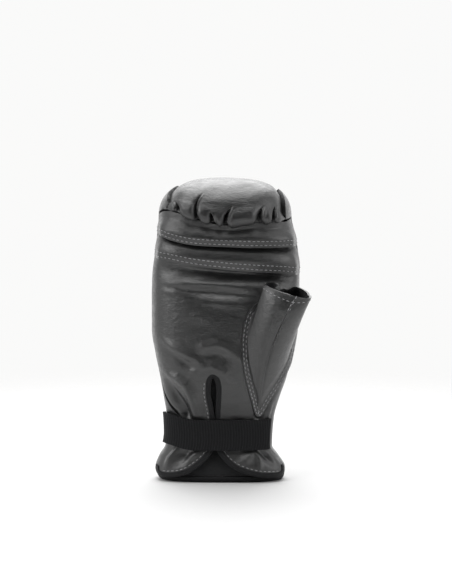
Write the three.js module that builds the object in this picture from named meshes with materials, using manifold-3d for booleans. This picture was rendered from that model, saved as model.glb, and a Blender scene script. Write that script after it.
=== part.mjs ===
// A right-hand boxing bag glove that stands on its open cuff.
// Millimetres, +Z up. The palm faces -Y, the thumb is on the +X side, and the floor is at Z = 0.
import * as THREE from 'three';
import Module from 'manifold-3d';

const wasm = await Module();
wasm.setup();

// Driving sizes of the whole glove
const gloveHeight = 248.6;
const gloveWidth = 122;
const gloveDepth = 80;
const crownHeight = 33.6;
const squareness = 2.65;

// Leather, padding and seams
const leather = 1.6;
const seamGap = 0.4;
const grooveGap = 0.6;
const lapWidth = 3;
const lapRise = 2.4;
const gussetWall = 4;
const padThickness = 22;
const seamThickness = 2.4;
const liningThickness = 1.4;
const liningTop = 102;
const liningInset = 5;
const liningGap = 1;
const lipBulge = 6;
const lipRoll = 11;
const grooveDepth = 2.5;
const bandBulge = 1.8;

// Black trim
const bindingWidth = 4.3;
const bindingThickness = 3.2;
const hemHeight = 5;
const strapWidth = 25;
const strapThickness = 1.8;
const strapFoot = 27;
const strapClearance = 1.4;
const strapTilt = 4.5;
const strapLeftAngle = -82;
const strapRightAngle = 62;

// Thumb
const thumbWall = 1.8;
const thumbLap = 2.4;
const thumbSeat = 0.3;
const rimWidth = 36.5;
const rimDepth = 20;
const rimDent = 8;
const creaseDepth = 7;

// Body sections, from the cuff up: heights as shares of the glove's height,
// left and right as shares of half its width, front and back as shares of half its depth.
const sections = [
  { height: 0, left: 0.9, right: 0.78, front: 0.6, back: 0.675 },
  { height: 0.04, left: 0.96, right: 0.8, front: 0.61, back: 0.69 },
  { height: 0.08, left: 0.905, right: 0.71, front: 0.55, back: 0.675 },
  { height: 0.113, left: 0.825, right: 0.625, front: 0.5, back: 0.662 },
  { height: 0.161, left: 0.795, right: 0.632, front: 0.487, back: 0.65 },
  { height: 0.211, left: 0.802, right: 0.652, front: 0.512, back: 0.662 },
  { height: 0.274, left: 0.839, right: 0.721, front: 0.675, back: 0.7 },
  { height: 0.342, left: 0.885, right: 0.816, front: 0.787, back: 0.75 },
  { height: 0.422, left: 0.951, right: 0.893, front: 0.837, back: 0.825 },
  { height: 0.503, left: 1.0, right: 0.951, front: 0.825, back: 0.887 },
  { height: 0.603, left: 1.0, right: 0.984, front: 0.787, back: 0.95 },
  { height: 0.664, left: 0.995, right: 0.989, front: 0.737, back: 0.975 },
  { height: 0.704, left: 0.984, right: 0.989, front: 0.7, back: 0.987 },
  { height: 0.744, left: 0.961, right: 0.977, front: 0.737, back: 1.0 },
  { height: 0.805, left: 0.93, right: 0.94, front: 0.812, back: 1.007 },
  { height: 0.865, left: 0.905, right: 0.88, front: 0.875, back: 1.012 },
];

// Palm-side seams: where they lie across the front, from -1 at the left side to 1 at the right,
// and their heights as shares of the glove's height.
const frontSeams = [
  { across: -1.0, pad: 0.889, finger: 0.82, grip: 0.741 },
  { across: -0.9, pad: 0.902, finger: 0.817, grip: 0.741 },
  { across: -0.74, pad: 0.894, finger: 0.812, grip: 0.742 },
  { across: -0.4, pad: 0.87, finger: 0.802, grip: 0.732 },
  { across: 0.05, pad: 0.853, finger: 0.796, grip: 0.722 },
  { across: 0.4, pad: 0.861, finger: 0.792, grip: 0.715 },
  { across: 0.7, pad: 0.862, finger: 0.786, grip: 0.703 },
  { across: 0.9, pad: 0.868, finger: 0.78, grip: 0.69 },
  { across: 1.0, pad: 0.879, finger: 0.781, grip: 0.684 },
];

// Side seams between the palm and the gussets, in degrees round from the front.
const sideSeams = [
  { height: 0, left: 75, right: 75 },
  { height: 0.07, left: 75, right: 73 },
  { height: 0.111, left: 66, right: 64 },
  { height: 0.161, left: 46, right: 62 },
  { height: 0.211, left: 45, right: 62 },
  { height: 0.251, left: 58, right: 64 },
  { height: 0.302, left: 72, right: 70 },
  { height: 0.362, left: 75, right: 75 },
  { height: 0.955, left: 75, right: 75 },
];

// Grooves between the pad and the gussets: how far along the pad, from its front seam to the cuff,
// and how far out to each side, as a share of the half width there.
const padGrooves = [
  { along: 0.0, left: 0.862, right: 0.895 },
  { along: 0.08, left: 0.85, right: 0.88 },
  { along: 0.14, left: 0.79, right: 0.84 },
  { along: 0.2, left: 0.7, right: 0.79 },
  { along: 0.3, left: 0.72, right: 0.8 },
  { along: 0.45, left: 0.8, right: 0.82 },
  { along: 0.75, left: 0.8, right: 0.8 },
  { along: 1.0, left: 0.74, right: 0.74 },
];

// Padding along the same path, as shares of the full pad thickness.
const padProfile = [
  { along: 0.0, thick: 0.4 },
  { along: 0.08, thick: 0.62 },
  { along: 0.19, thick: 0.74 },
  { along: 0.3, thick: 0.88 },
  { along: 0.4, thick: 1.0 },
  { along: 0.55, thick: 0.92 },
  { along: 0.8, thick: 0.6 },
  { along: 0.93, thick: 0.42 },
  { along: 1.0, thick: 0.2 },
];

// Gathers of the pad's front edge: place across, width as a share of the half width, reach up the pad
// in lip rolls, lean of the top end in half widths, and depth in lip bulges.
const gathers = [
  { across: -0.73, width: 0.05, reach: 1.2, lean: -0.05, depth: 0.55 },
  { across: -0.39, width: 0.045, reach: 2.4, lean: 0.1, depth: 0.8 },
  { across: -0.2, width: 0.035, reach: 0.8, lean: -0.06, depth: 0.5 },
  { across: 0.0, width: 0.05, reach: 1.3, lean: 0.08, depth: 0.7 },
  { across: 0.47, width: 0.055, reach: 1.5, lean: 0.1, depth: 0.8 },
  { across: 0.69, width: 0.04, reach: 1.6, lean: 0.04, depth: 0.6 },
];

// Folds of the palm leather: centre, half length and half width as shares of the half width,
// height as a share of the glove's height, turn in degrees, and rise in leather thicknesses.
const palmFolds = [
  { across: -0.04, height: 0.666, long: 0.62, wide: 0.055, turn: 0, rise: 1.3 },
  { across: 0.12, height: 0.626, long: 0.55, wide: 0.06, turn: -3, rise: -1.1 },
  { across: -0.55, height: 0.603, long: 0.3, wide: 0.05, turn: -6, rise: 0.8 },
  { across: -0.62, height: 0.463, long: 0.45, wide: 0.09, turn: -28, rise: 0.9 },
  { across: -0.05, height: 0.442, long: 0.33, wide: 0.07, turn: -16, rise: 0.8 },
  { across: -0.48, height: 0.282, long: 0.22, wide: 0.08, turn: -68, rise: 1.5 },
  { across: -0.7, height: 0.261, long: 0.16, wide: 0.07, turn: -70, rise: -1.3 },
  { across: 0.3, height: 0.272, long: 0.2, wide: 0.1, turn: 80, rise: 0.9 },
];

// Binding of the palm's cuff edge and slit, from the left side seam to the right one:
// place across the front and height, as shares of the half width and the glove's height.
const palmEdge = [
  { across: -0.965, height: 0.048 },
  { across: -0.955, height: 0.034 },
  { across: -0.92, height: 0.0265 },
  { across: -0.84, height: 0.025 },
  { across: -0.69, height: 0.029 },
  { across: -0.56, height: 0.038 },
  { across: -0.45, height: 0.055 },
  { across: -0.36, height: 0.073 },
  { across: -0.29, height: 0.093 },
  { across: -0.25, height: 0.113 },
  { across: -0.24, height: 0.151 },
  { across: -0.25, height: 0.201 },
  { across: -0.26, height: 0.243 },
  { across: -0.28, height: 0.292 },
  { across: -0.275, height: 0.327 },
  { across: -0.245, height: 0.352 },
  { across: -0.195, height: 0.363 },
  { across: -0.14, height: 0.352 },
  { across: -0.11, height: 0.327 },
  { across: -0.112, height: 0.292 },
  { across: -0.135, height: 0.243 },
  { across: -0.145, height: 0.201 },
  { across: -0.14, height: 0.151 },
  { across: -0.115, height: 0.113 },
  { across: -0.05, height: 0.092 },
  { across: 0.06, height: 0.069 },
  { across: 0.22, height: 0.049 },
  { across: 0.45, height: 0.033 },
  { across: 0.7, height: 0.025 },
  { across: 0.92, height: 0.0255 },
  { across: 0.955, height: 0.034 },
  { across: 0.965, height: 0.05 },
];

// Stitched foot of the thumb, once round from its lowest point and up its inner side:
// turn as a share of the loop, place across the front, and height as a share of the glove's height.
const thumbFoot = [
  { turn: 0.0, across: 0.66, height: 0.227 },
  { turn: 0.08, across: 0.44, height: 0.292 },
  { turn: 0.16, across: 0.3, height: 0.372 },
  { turn: 0.24, across: 0.245, height: 0.444 },
  { turn: 0.32, across: 0.245, height: 0.503 },
  { turn: 0.39, across: 0.29, height: 0.555 },
  { turn: 0.45, across: 0.4, height: 0.591 },
  { turn: 0.51, across: 0.57, height: 0.609 },
  { turn: 0.57, across: 0.76, height: 0.609 },
  { turn: 0.63, across: 0.9, height: 0.583 },
  { turn: 0.7, across: 0.965, height: 0.523 },
  { turn: 0.78, across: 0.975, height: 0.453 },
  { turn: 0.85, across: 0.95, height: 0.392 },
  { turn: 0.91, across: 0.87, height: 0.337 },
  { turn: 0.96, across: 0.76, height: 0.277 },
];

// Thumb rim: its middle as shares of the half width, half depth and height, and its two slopes in degrees.
const thumbRim = { across: 0.8, forward: 1.05, height: 0.636, sideSlope: 10, frontSlope: 15 };

// Heights at which the palm, the gussets and the lining have their rows, as shares of the glove's height.
const rowHeights = [
  0.0217, 0.048, 0.076, 0.105, 0.133, 0.161, 0.191, 0.221, 0.256, 0.297, 0.352, 0.422, 0.503, 0.583, 0.644, 0.704,
  0.784, 0.865,
];

const halfWidth = gloveWidth / 2;
const halfDepth = gloveDepth / 2;
const crownFoot = gloveHeight - crownHeight;
const degrees = Math.PI / 180;

function smoothStep(low, high, value) {
  const t = Math.min(1, Math.max(0, (value - low) / (high - low)));
  return t * t * (3 - 2 * t);
}

// A smooth curve through one column of a table that never swings past its rows.
function columnCurve(rows, along, column) {
  const x = rows.map((row) => row[along]);
  const y = rows.map((row) => row[column]);
  const steps = x.slice(1).map((value, i) => value - x[i]);
  const slopes = steps.map((step, i) => (y[i + 1] - y[i]) / step);
  const tangents = x.map((_, i) => {
    if (i === 0 || i === x.length - 1) return slopes[Math.min(i, slopes.length - 1)];
    const before = slopes[i - 1];
    const after = slopes[i];
    return before * after <= 0 ? 0 : (2 * before * after) / (before + after);
  });
  return (value) => {
    if (value <= x[0]) return y[0];
    if (value >= x[x.length - 1]) return y[y.length - 1];
    let i = 0;
    while (value > x[i + 1]) i += 1;
    const t = (value - x[i]) / steps[i];
    const rise = y[i + 1] - y[i];
    const bend = tangents[i] * steps[i] + tangents[i + 1] * steps[i] - 2 * rise;
    const lean = 3 * rise - 2 * tangents[i] * steps[i] - tangents[i + 1] * steps[i];
    return y[i] + t * (tangents[i] * steps[i] + t * (lean + t * bend));
  };
}

const shareLeft = columnCurve(sections, 'height', 'left');
const shareRight = columnCurve(sections, 'height', 'right');
const shareFront = columnCurve(sections, 'height', 'front');
const shareBack = columnCurve(sections, 'height', 'back');
const grooveLeft = columnCurve(padGrooves, 'along', 'left');
const grooveRight = columnCurve(padGrooves, 'along', 'right');
const padShare = columnCurve(padProfile, 'along', 'thick');
const seamLeft = columnCurve(sideSeams, 'height', 'left');
const seamRight = columnCurve(sideSeams, 'height', 'right');
const seamShares = {
  pad: columnCurve(frontSeams, 'across', 'pad'),
  finger: columnCurve(frontSeams, 'across', 'finger'),
  grip: columnCurve(frontSeams, 'across', 'grip'),
};

function sideAt(side, z) {
  return halfWidth * (side < 0 ? shareLeft : shareRight)(z / gloveHeight);
}

function frontAt(z) {
  return halfDepth * shareFront(z / gloveHeight);
}

function backAt(z) {
  return halfDepth * shareBack(z / gloveHeight);
}

function seamHeight(name, across) {
  return gloveHeight * seamShares[name](across);
}

// The other shares of a rounded box, when one or two of its shares are known.
function remaining(...shares) {
  const used = shares.reduce((sum, share) => sum + Math.abs(share) ** squareness, 0);
  return Math.max(0, 1 - used) ** (1 / squareness);
}

// Share across the front at an angle round from it.
function acrossAt(angle) {
  const sine = Math.sin(angle * degrees);
  const cosine = Math.cos(angle * degrees);
  const reach = (Math.abs(sine) ** squareness + Math.abs(cosine) ** squareness) ** (1 / squareness);
  return sine / reach;
}

// Angle of the side seam, moved a few millimetres towards the front.
function seamAngle(side, z, towardsFront = 0) {
  const angle = (side < 0 ? seamLeft : seamRight)(z / gloveHeight);
  return side * (angle - towardsFront / (halfDepth * degrees));
}

// Share across at one step of the palm side's width, evenly turned from one side seam to the other.
function acrossStep(step, z, gap = seamGap) {
  const left = seamAngle(-1, z, gap);
  const right = seamAngle(1, z, gap);
  return acrossAt(left + (right - left) * step);
}

// A point of the palm side. grow moves it out of the surface.
function frontPoint(across, z, grow = 0) {
  const side = across < 0 ? -1 : 1;
  if (z <= crownFoot) {
    return new THREE.Vector3(
      across * (sideAt(side, z) + grow),
      -(frontAt(z) + grow) * remaining(across),
      z,
    );
  }
  const rise = (z - crownFoot) / crownHeight;
  return new THREE.Vector3(
    across * (sideAt(side, crownFoot) + grow),
    -(frontAt(crownFoot) + grow) * remaining(across, rise),
    z,
  );
}

function palmRelief(across, z) {
  const strapMask = smoothStep(strapFoot + strapWidth, strapFoot + strapWidth * 1.4, z);
  const seamMask = smoothStep(0, lapWidth * 3, seamHeight('grip', across) - z);
  const sideMask = 1 - smoothStep(0.8, 0.97, Math.abs(across));
  let rise = 0;
  for (const fold of palmFolds) {
    const dx = (across - fold.across) * halfWidth;
    const dz = z - fold.height * gloveHeight;
    const c = Math.cos(fold.turn * degrees);
    const s = Math.sin(fold.turn * degrees);
    const lengthwise = (dx * c + dz * s) / (fold.long * halfWidth);
    const crosswise = (dz * c - dx * s) / (fold.wide * halfWidth);
    rise += fold.rise * Math.exp(-(lengthwise ** 2) - crosswise ** 2);
  }
  return rise * leather * strapMask * seamMask * sideMask;
}

// The crown and back are followed along a path: up the front, over the crown and down the back.
const crownArc =
  Math.PI * Math.sqrt(((frontAt(crownFoot) + backAt(crownFoot)) ** 2 / 4 + crownHeight ** 2) / 2);
const padFoot = hemHeight + seamGap;
const pathEnd = crownArc + crownFoot - padFoot;

function pathAtSeam(across) {
  const above = seamHeight('pad', across) - crownFoot;
  if (above <= 0) return above;
  const room = remaining(across);
  const rise = Math.min(0.98, above / (crownHeight * room));
  return (crownArc / Math.PI) * Math.atan2(rise, remaining(rise));
}

// Fore is the share towards the back (negative at the front), up the share of the crown's height.
function shellCoordinates(across, path) {
  if (path < 0) return { fore: -remaining(across), up: 0, z: crownFoot + path };
  if (path > crownArc) return { fore: remaining(across), up: 0, z: crownFoot + crownArc - path };
  const turn = (Math.PI * path) / crownArc;
  const c = Math.cos(turn);
  const s = Math.sin(turn);
  const reach = (Math.abs(c) ** squareness + s ** squareness) ** (1 / squareness);
  const room = remaining(across);
  return { fore: (-room * c) / reach, up: (room * s) / reach, z: crownFoot };
}

function pathOf(fore, up, z) {
  if (z < crownFoot) return fore < 0 ? z - crownFoot : crownArc + crownFoot - z;
  return (crownArc / Math.PI) * Math.atan2(up, -fore);
}

// A point of the crown, the back or a side. grow moves it out, forward only moves its front,
// and the side and depth insets take it in to the padding's inner face.
function shellPoint(across, { fore, up, z }, { grow = 0, forward = 0, sideInset = 0, inset = 0 }) {
  const depth = fore < 0 ? frontAt(z) + forward : backAt(z);
  return new THREE.Vector3(
    across * (sideAt(across < 0 ? -1 : 1, z) + grow - sideInset),
    fore * (depth + grow - inset),
    z + up * (crownHeight + grow - inset),
  );
}

// How far the front of the pad stands out, from its rolled seam upwards.
function lipAt(fromSeam) {
  const roll = 1 - Math.min(1, Math.max(0, fromSeam / lipRoll));
  return lipBulge * Math.sqrt(Math.max(0, 1 - roll * roll));
}

function wallThickness(across, path, fromSeam) {
  const padded = padThickness * padShare((path + lipRoll) / (pathEnd + lipRoll));
  const tapered = gussetWall + (padded - gussetWall) * (1 - across ** 4);
  return seamThickness + (tapered - seamThickness) * smoothStep(0, lipRoll * 1.4, fromSeam);
}

// A closed mesh from corners and triangles, with equal corners merged and its faces pointing out.
function closedGeometry(corners, triangles) {
  const keys = new Map();
  const points = [];
  const merged = corners.map((corner) => {
    const key = corner.toArray().map((value) => Math.round(value * 1e4)).join();
    if (!keys.has(key)) {
      keys.set(key, points.length);
      points.push(corner);
    }
    return keys.get(key);
  });
  const faces = triangles
    .map((triangle) => triangle.map((corner) => merged[corner]))
    .filter(([a, b, c]) => a !== b && b !== c && c !== a);
  const volume = faces.reduce(
    (sum, [a, b, c]) => sum + points[a].dot(points[b].clone().cross(points[c])),
    0,
  );
  const index = faces.flatMap(([a, b, c]) => (volume < 0 ? [a, c, b] : [a, b, c]));
  return new THREE.BufferGeometry().setFromPoints(points).setIndex(index);
}

// A solid between two sheets of the same grid. Its open edges get a wall.
function gridSolid(columns, rows, outer, inner, round = false) {
  const around = round ? columns : columns + 1;
  const count = around * (rows + 1);
  const at = (i, j) => (i % around) + j * around;
  const corners = [];
  for (const place of [outer, inner]) {
    for (let j = 0; j <= rows; j += 1) {
      for (let i = 0; i < around; i += 1) corners.push(place(i / columns, j / rows));
    }
  }
  const triangles = [];
  const quad = (a, b, c, d) => triangles.push([a, b, c], [a, c, d]);
  for (let j = 0; j < rows; j += 1) {
    for (let i = 0; i < columns; i += 1) {
      const [a, b, c, d] = [at(i, j), at(i + 1, j), at(i + 1, j + 1), at(i, j + 1)];
      quad(a, b, c, d);
      quad(count + d, count + c, count + b, count + a);
    }
  }
  for (let i = 0; i < columns; i += 1) {
    quad(at(i + 1, 0), at(i, 0), count + at(i, 0), count + at(i + 1, 0));
    quad(at(i, rows), at(i + 1, rows), count + at(i + 1, rows), count + at(i, rows));
  }
  for (let j = 0; j < rows && !round; j += 1) {
    quad(at(0, j), at(0, j + 1), count + at(0, j + 1), count + at(0, j));
    quad(at(columns, j + 1), at(columns, j), count + at(columns, j), count + at(columns, j + 1));
  }
  return closedGeometry(corners, triangles);
}

// A strip of one section swept along a line. Each section point is given across the strip and out of it.
function sweptSolid(line, section) {
  const corners = [];
  line.forEach(({ centre, out }, i) => {
    const before = line[Math.max(0, i - 1)].centre;
    const after = line[Math.min(line.length - 1, i + 1)].centre;
    const tangent = after.clone().sub(before).normalize();
    const across = tangent.clone().cross(out).normalize();
    const raised = across.clone().cross(tangent).normalize();
    for (const [sideways, outwards] of section) {
      corners.push(centre.clone().addScaledVector(across, sideways).addScaledVector(raised, outwards));
    }
  });
  const sides = section.length;
  const triangles = [];
  for (let i = 0; i < line.length - 1; i += 1) {
    for (let k = 0; k < sides; k += 1) {
      const a = i * sides + k;
      const b = i * sides + ((k + 1) % sides);
      triangles.push([a, b, b + sides], [a, b + sides, a + sides]);
    }
  }
  const last = (line.length - 1) * sides;
  for (let k = 1; k < sides - 1; k += 1) {
    triangles.push([0, k + 1, k], [last, last + k, last + k + 1]);
  }
  return closedGeometry(corners, triangles);
}

function toSolid(geometry) {
  const vertProperties = new Float32Array(geometry.getAttribute('position').array);
  const triVerts = new Uint32Array(geometry.index.array);
  return new wasm.Manifold(new wasm.Mesh({ numProp: 3, vertProperties, triVerts }));
}

// What is left of a solid after the cutters, without loose crumbs.
function cutSolid(geometry, cutters) {
  let solid = toSolid(geometry);
  for (const cutter of cutters) solid = solid.subtract(toSolid(cutter));
  const [largest] = solid.decompose().sort((a, b) => b.volume() - a.volume());
  const mesh = largest.getMesh();
  const corners = [];
  for (let i = 0; i < mesh.vertProperties.length; i += mesh.numProp) {
    corners.push(new THREE.Vector3(...mesh.vertProperties.slice(i, i + 3)));
  }
  const triangles = [];
  for (let i = 0; i < mesh.triVerts.length; i += 3) {
    triangles.push([...mesh.triVerts.slice(i, i + 3)]);
  }
  return closedGeometry(corners, triangles);
}

// A cutter through the palm side, from an outline of shares across and heights.
function frontCutter(outline) {
  const flat = outline.map(({ across, z }) => new THREE.Vector2(across * halfWidth, z));
  const faces = THREE.ShapeUtils.triangulateShape(flat, []);
  const reach = gloveDepth;
  const corners = [reach, 0].flatMap((depth) =>
    outline.map(({ x, z }) => new THREE.Vector3(x, -depth, z)),
  );
  const n = outline.length;
  const winding = THREE.ShapeUtils.isClockWise(flat) ? -1 : 1;
  const triangles = faces.flatMap(([a, b, c]) => [[a, b, c], [n + a, n + c, n + b]]);
  for (let i = 0; i < n; i += 1) {
    const j = (i + 1) % n;
    const [p, q] = winding > 0 ? [i, j] : [j, i];
    triangles.push([q, p, n + p], [q, n + p, n + q]);
  }
  return closedGeometry(corners, triangles);
}

// Points spaced along a smooth line through a table's rows.
function smoothLine(points, count, closed = false) {
  const curve = new THREE.CatmullRomCurve3(points, closed, 'centripetal');
  return closed ? curve.getSpacedPoints(count).slice(0, count) : curve.getSpacedPoints(count);
}

// Padded striking panel: from its gathered front seam over the crown and down to the cuff
function padPlace(share, along, gap = -grooveGap) {
  const groove = share * (share < 0 ? grooveLeft : grooveRight)(along);
  const start = pathAtSeam(groove);
  const path = start + along * (pathEnd - start);
  return { across: groove + (share * gap) / halfWidth, path, fromSeam: path - start };
}

function gatherDepth(across, fromSeam) {
  let depth = 0;
  for (const gather of gathers) {
    const reach = gather.reach * lipRoll;
    const centre = gather.across + (gather.lean * fromSeam) / reach;
    const away = (across - centre) / gather.width;
    depth += gather.depth * Math.exp(-away * away) * (1 - smoothStep(0.3, 1, fromSeam / reach));
  }
  return depth * lipBulge;
}

const padColumnStops = [
  -1, -0.9, -0.8, -0.73, -0.65, -0.55, -0.46, -0.39, -0.32, -0.26, -0.2, -0.14, -0.07, 0, 0.08, 0.2,
  0.32, 0.4, 0.47, 0.54, 0.62, 0.7, 0.8, 0.9, 1,
];
const padRowStops = [
  0, 0.008, 0.016, 0.027, 0.04, 0.055, 0.075, 0.1, 0.13, 0.16, 0.19, 0.22, 0.25, 0.28, 0.32, 0.37, 0.43,
  0.5, 0.58, 0.66, 0.74, 0.8, 0.85, 0.89, 0.92, 0.94, 0.96, 0.98, 1,
];

function padFace(inner) {
  return (i, j) => {
    const share = padColumnStops[Math.round(i * (padColumnStops.length - 1))];
    const along = padRowStops[Math.round(j * (padRowStops.length - 1))];
    const { across, path, fromSeam } = padPlace(share, along);
    const place = shellCoordinates(across, path);
    if (inner) {
      const inset = wallThickness(across, path, fromSeam);
      return shellPoint(across, place, { forward: 0, sideInset: gussetWall, inset });
    }
    const edgeDip = grooveDepth * Math.abs(share) ** 8 * smoothStep(0, lipRoll, fromSeam);
    const forward = lipAt(fromSeam) - gatherDepth(across, fromSeam) * smoothStep(0, 2, fromSeam);
    return shellPoint(across, place, { grow: -edgeDip, forward });
  };
}

function strikingPad() {
  return gridSolid(padColumnStops.length - 1, padRowStops.length - 1, padFace(false), padFace(true));
}

// Side gusset: the wall between the palm's side seam and the pad's groove
const gussetColumns = 7;
const crest = padRowStops.indexOf(0.19);

// Matching ends of the gusset's rows: up the side seam and along the groove's front, and up its back.
// Their level is the share of the crown's height, below zero under the crown.
function gussetRows(side) {
  const withLevel = ({ fore, up, z }) => ({ fore, level: up > 0 ? up : (z - crownFoot) / crownHeight });
  const grooveEnd = (along) => {
    const { across, path } = padPlace(side, along, grooveGap);
    return withLevel(shellCoordinates(across, path));
  };
  const heights = rowHeights.map((height) => height * gloveHeight);
  const frontEnds = heights.map((z) =>
    withLevel({ fore: -remaining(acrossAt(seamAngle(side, z, -seamGap))), up: 0, z }),
  );
  const corner = seamAngle(side, crownFoot, -seamGap);
  const start = (side < 0 ? grooveLeft : grooveRight)(0);
  const end = (side * Math.atan2(start, remaining(start))) / degrees;
  for (const share of [0, 0.25, 0.5, 0.75]) {
    const across = acrossAt(corner + (end - corner) * share);
    const level = (seamHeight('pad', across) - crownFoot) / crownHeight;
    frontEnds.push({ fore: -remaining(across, level), level });
  }
  for (const along of padRowStops.slice(0, crest + 1)) frontEnds.push(grooveEnd(along));
  const seamPath = pathAtSeam(side * start);
  const topRows = frontEnds.length - heights.length;
  const backEnds = frontEnds.map((_, j) => {
    const path = pathEnd + padFoot - (heights[j] ?? crownFoot);
    const along = (path - seamPath) / (pathEnd - seamPath);
    const climb = Math.max(0, j - heights.length + 1) / topRows;
    return grooveEnd(Math.min(1, along + (padRowStops[crest] - along) * climb));
  });
  return { frontEnds, backEnds };
}

function sideGusset(side) {
  const { frontEnds, backEnds } = gussetRows(side);
  const rows = frontEnds.length - 1;
  const face = (inner) => (i, j) => {
    const front = frontEnds[Math.round(j * rows)];
    const back = backEnds[Math.round(j * rows)];
    const fore = front.fore + (back.fore - front.fore) * i;
    const level = front.level + (back.level - front.level) * i;
    const place = { fore, up: Math.max(0, level), z: crownFoot + Math.min(0, level) * crownHeight };
    const across = side * remaining(fore, place.up);
    const path = pathOf(fore, place.up, place.z);
    const fromSeam = Math.max(0, path - Math.max(0, pathAtSeam(across)));
    if (inner) {
      const thin = fore < 0 && level < 0;
      const inset = thin ? gussetWall : wallThickness(across, path, fromSeam);
      return shellPoint(across, place, { sideInset: gussetWall, inset });
    }
    const edgeDip = grooveDepth * i ** 8 * smoothStep(0, lipRoll, fromSeam);
    return shellPoint(across, place, { grow: -edgeDip, forward: fore < 0 ? lipAt(fromSeam) : 0 });
  };
  return gridSolid(gussetColumns, rows, face(false), face(true));
}

// Palm-side bands: each lower edge lies over the piece below, each upper edge tucks under the one above
function lapAt(across) {
  return lapWidth / 2 - (lapWidth / 2 + seamGap) * smoothStep(0.76, 0.87, Math.abs(across));
}

function proudAt(across) {
  return lapRise * (1 - 0.8 * smoothStep(0.87, 0.98, Math.abs(across)));
}

function bandSolid(lowSeam, highSeam, tucked) {
  const columns = 24;
  const rows = 4;
  const face = (inset) => (i, j) => {
    const across = acrossStep(i, gloveHeight * 0.8, 3 * seamGap);
    const low = seamHeight(lowSeam, across) - lapAt(across);
    const clearance = seamGap * (1.5 + 3 * smoothStep(0.8, 0.9, Math.abs(across)));
    const high = seamHeight(highSeam, across) + (tucked ? lapAt(across) : -clearance);
    const z = low + (high - low) * j;
    const proud = proudAt(across) * (1 - smoothStep(0.2, 0.75, j));
    const belly = bandBulge * Math.sin(Math.PI * Math.min(1, j / 0.75)) * remaining(across);
    return frontPoint(across, z, proud + belly - inset);
  };
  return gridSolid(columns, rows, face(0), face(leather));
}

// Palm: leather from the grip seam to the cuff, with the slit, the cuff flaps and the thumb hole cut out
const bindingSteps = 56;

function palmEdgeLine(count, shift = 0) {
  const line = smoothLine(
    palmEdge.map(({ across, height }) => {
      const z = height * gloveHeight;
      return new THREE.Vector3(across * sideAt(across < 0 ? -1 : 1, z), 0, z);
    }),
    count,
  );
  return line.map((point, i) => {
    const before = line[Math.max(0, i - 1)];
    const after = line[Math.min(count, i + 1)];
    const tangent = after.clone().sub(before).normalize();
    return { x: point.x - tangent.z * shift, z: point.z + tangent.x * shift };
  });
}

function onFront({ x, z }, grow = 0) {
  const across = x / sideAt(x < 0 ? -1 : 1, z);
  return frontPoint(Math.max(-0.995, Math.min(0.995, across)), z, grow);
}

function slitCutter() {
  const edge = palmEdgeLine(bindingSteps, bindingWidth / 2 + 2.5 * seamGap);
  const first = edge[0];
  const last = edge[edge.length - 1];
  const outline = [
    { x: -gloveWidth, z: -hemHeight },
    { x: -gloveWidth, z: first.z + leather },
    { x: first.x, z: first.z + leather },
    ...edge,
    { x: last.x, z: last.z + leather },
    { x: gloveWidth, z: last.z + leather },
    { x: gloveWidth, z: -hemHeight },
  ];
  return frontCutter(outline.map(({ x, z }) => ({ across: x / halfWidth, x, z })));
}

const thumbColumns = 28;

function thumbLoop(expand) {
  const points = thumbFoot.map(({ across, height }) => {
    const z = height * gloveHeight;
    return new THREE.Vector3(across * sideAt(1, z), 0, z);
  });
  const curve = new THREE.CatmullRomCurve3(points, true, 'centripetal');
  const turns = [...thumbFoot.map(({ turn }) => turn), 1];
  return Array.from({ length: thumbColumns }, (_, i) => {
    const turn = i / thumbColumns;
    let row = 0;
    while (turn >= turns[row + 1]) row += 1;
    const t = (row + (turn - turns[row]) / (turns[row + 1] - turns[row])) / thumbFoot.length;
    const point = curve.getPoint(t);
    const tangent = curve.getTangent(t);
    const z = point.z + tangent.x * expand;
    const limit = acrossAt(seamAngle(1, z, 2 * seamGap + thumbLap + expand)) * sideAt(1, z);
    return { x: Math.min(limit, point.x - tangent.z * expand), z };
  });
}

function thumbCutter() {
  const loop = thumbLoop(thumbLap);
  const rightMost = loop.reduce((best, point, i) => (point.x > loop[best].x ? i : best), 0);
  const outline = loop.flatMap((point, i) => {
    const beyond = { x: gloveWidth, z: point.z };
    if (i === rightMost - 3 || i === rightMost + 3) {
      return i < rightMost ? [point, beyond] : [beyond, point];
    }
    return i > rightMost - 3 && i < rightMost + 3 ? [] : [point];
  });
  return frontCutter(outline.map(({ x, z }) => ({ across: x / halfWidth, x, z })));
}

function palmPanel() {
  const columns = 24;
  const stops = [0.2 * hemHeight, ...rowHeights.filter((h) => h < 0.65).map((h) => h * gloveHeight)];
  const rows = stops.length + 1;
  const face = (inset) => (i, j) => {
    const row = Math.round(j * rows);
    const last = stops[stops.length - 1];
    const step = Math.max(0, row - stops.length + 1) / 2;
    const guess = step ? last + (0.73 * gloveHeight - last) * step : stops[row];
    const across = acrossStep(i, guess);
    const top = seamHeight('grip', across) + lapAt(across);
    const z = step ? last + (top - last) * step : guess;
    return frontPoint(across, z, palmRelief(across, z) - inset);
  };
  return cutSolid(gridSolid(columns, rows, face(0), face(leather)), [slitCutter(), thumbCutter()]);
}

// Thumb sleeve: a tube from its stitched foot on the palm to its open rim, with a crease down its front
function rimPoint(turn) {
  const angle = 2 * Math.PI * turn;
  const near = Math.cos(angle);
  const inner = Math.sin(angle);
  const dent = rimDent * Math.exp(-(((turn - 0.44) / 0.07) ** 2));
  const x = (-inner * rimWidth) / 2;
  const y = (-near * rimDepth) / 2 - dent;
  const slopeX = Math.tan(thumbRim.sideSlope * degrees);
  const slopeY = Math.tan(thumbRim.frontSlope * degrees);
  return new THREE.Vector3(
    thumbRim.across * halfWidth + x + (near > 0 ? near * rimWidth * 0.2 : 0),
    -thumbRim.forward * halfDepth + y,
    thumbRim.height * gloveHeight - x * slopeX + y * slopeY,
  );
}

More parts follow.
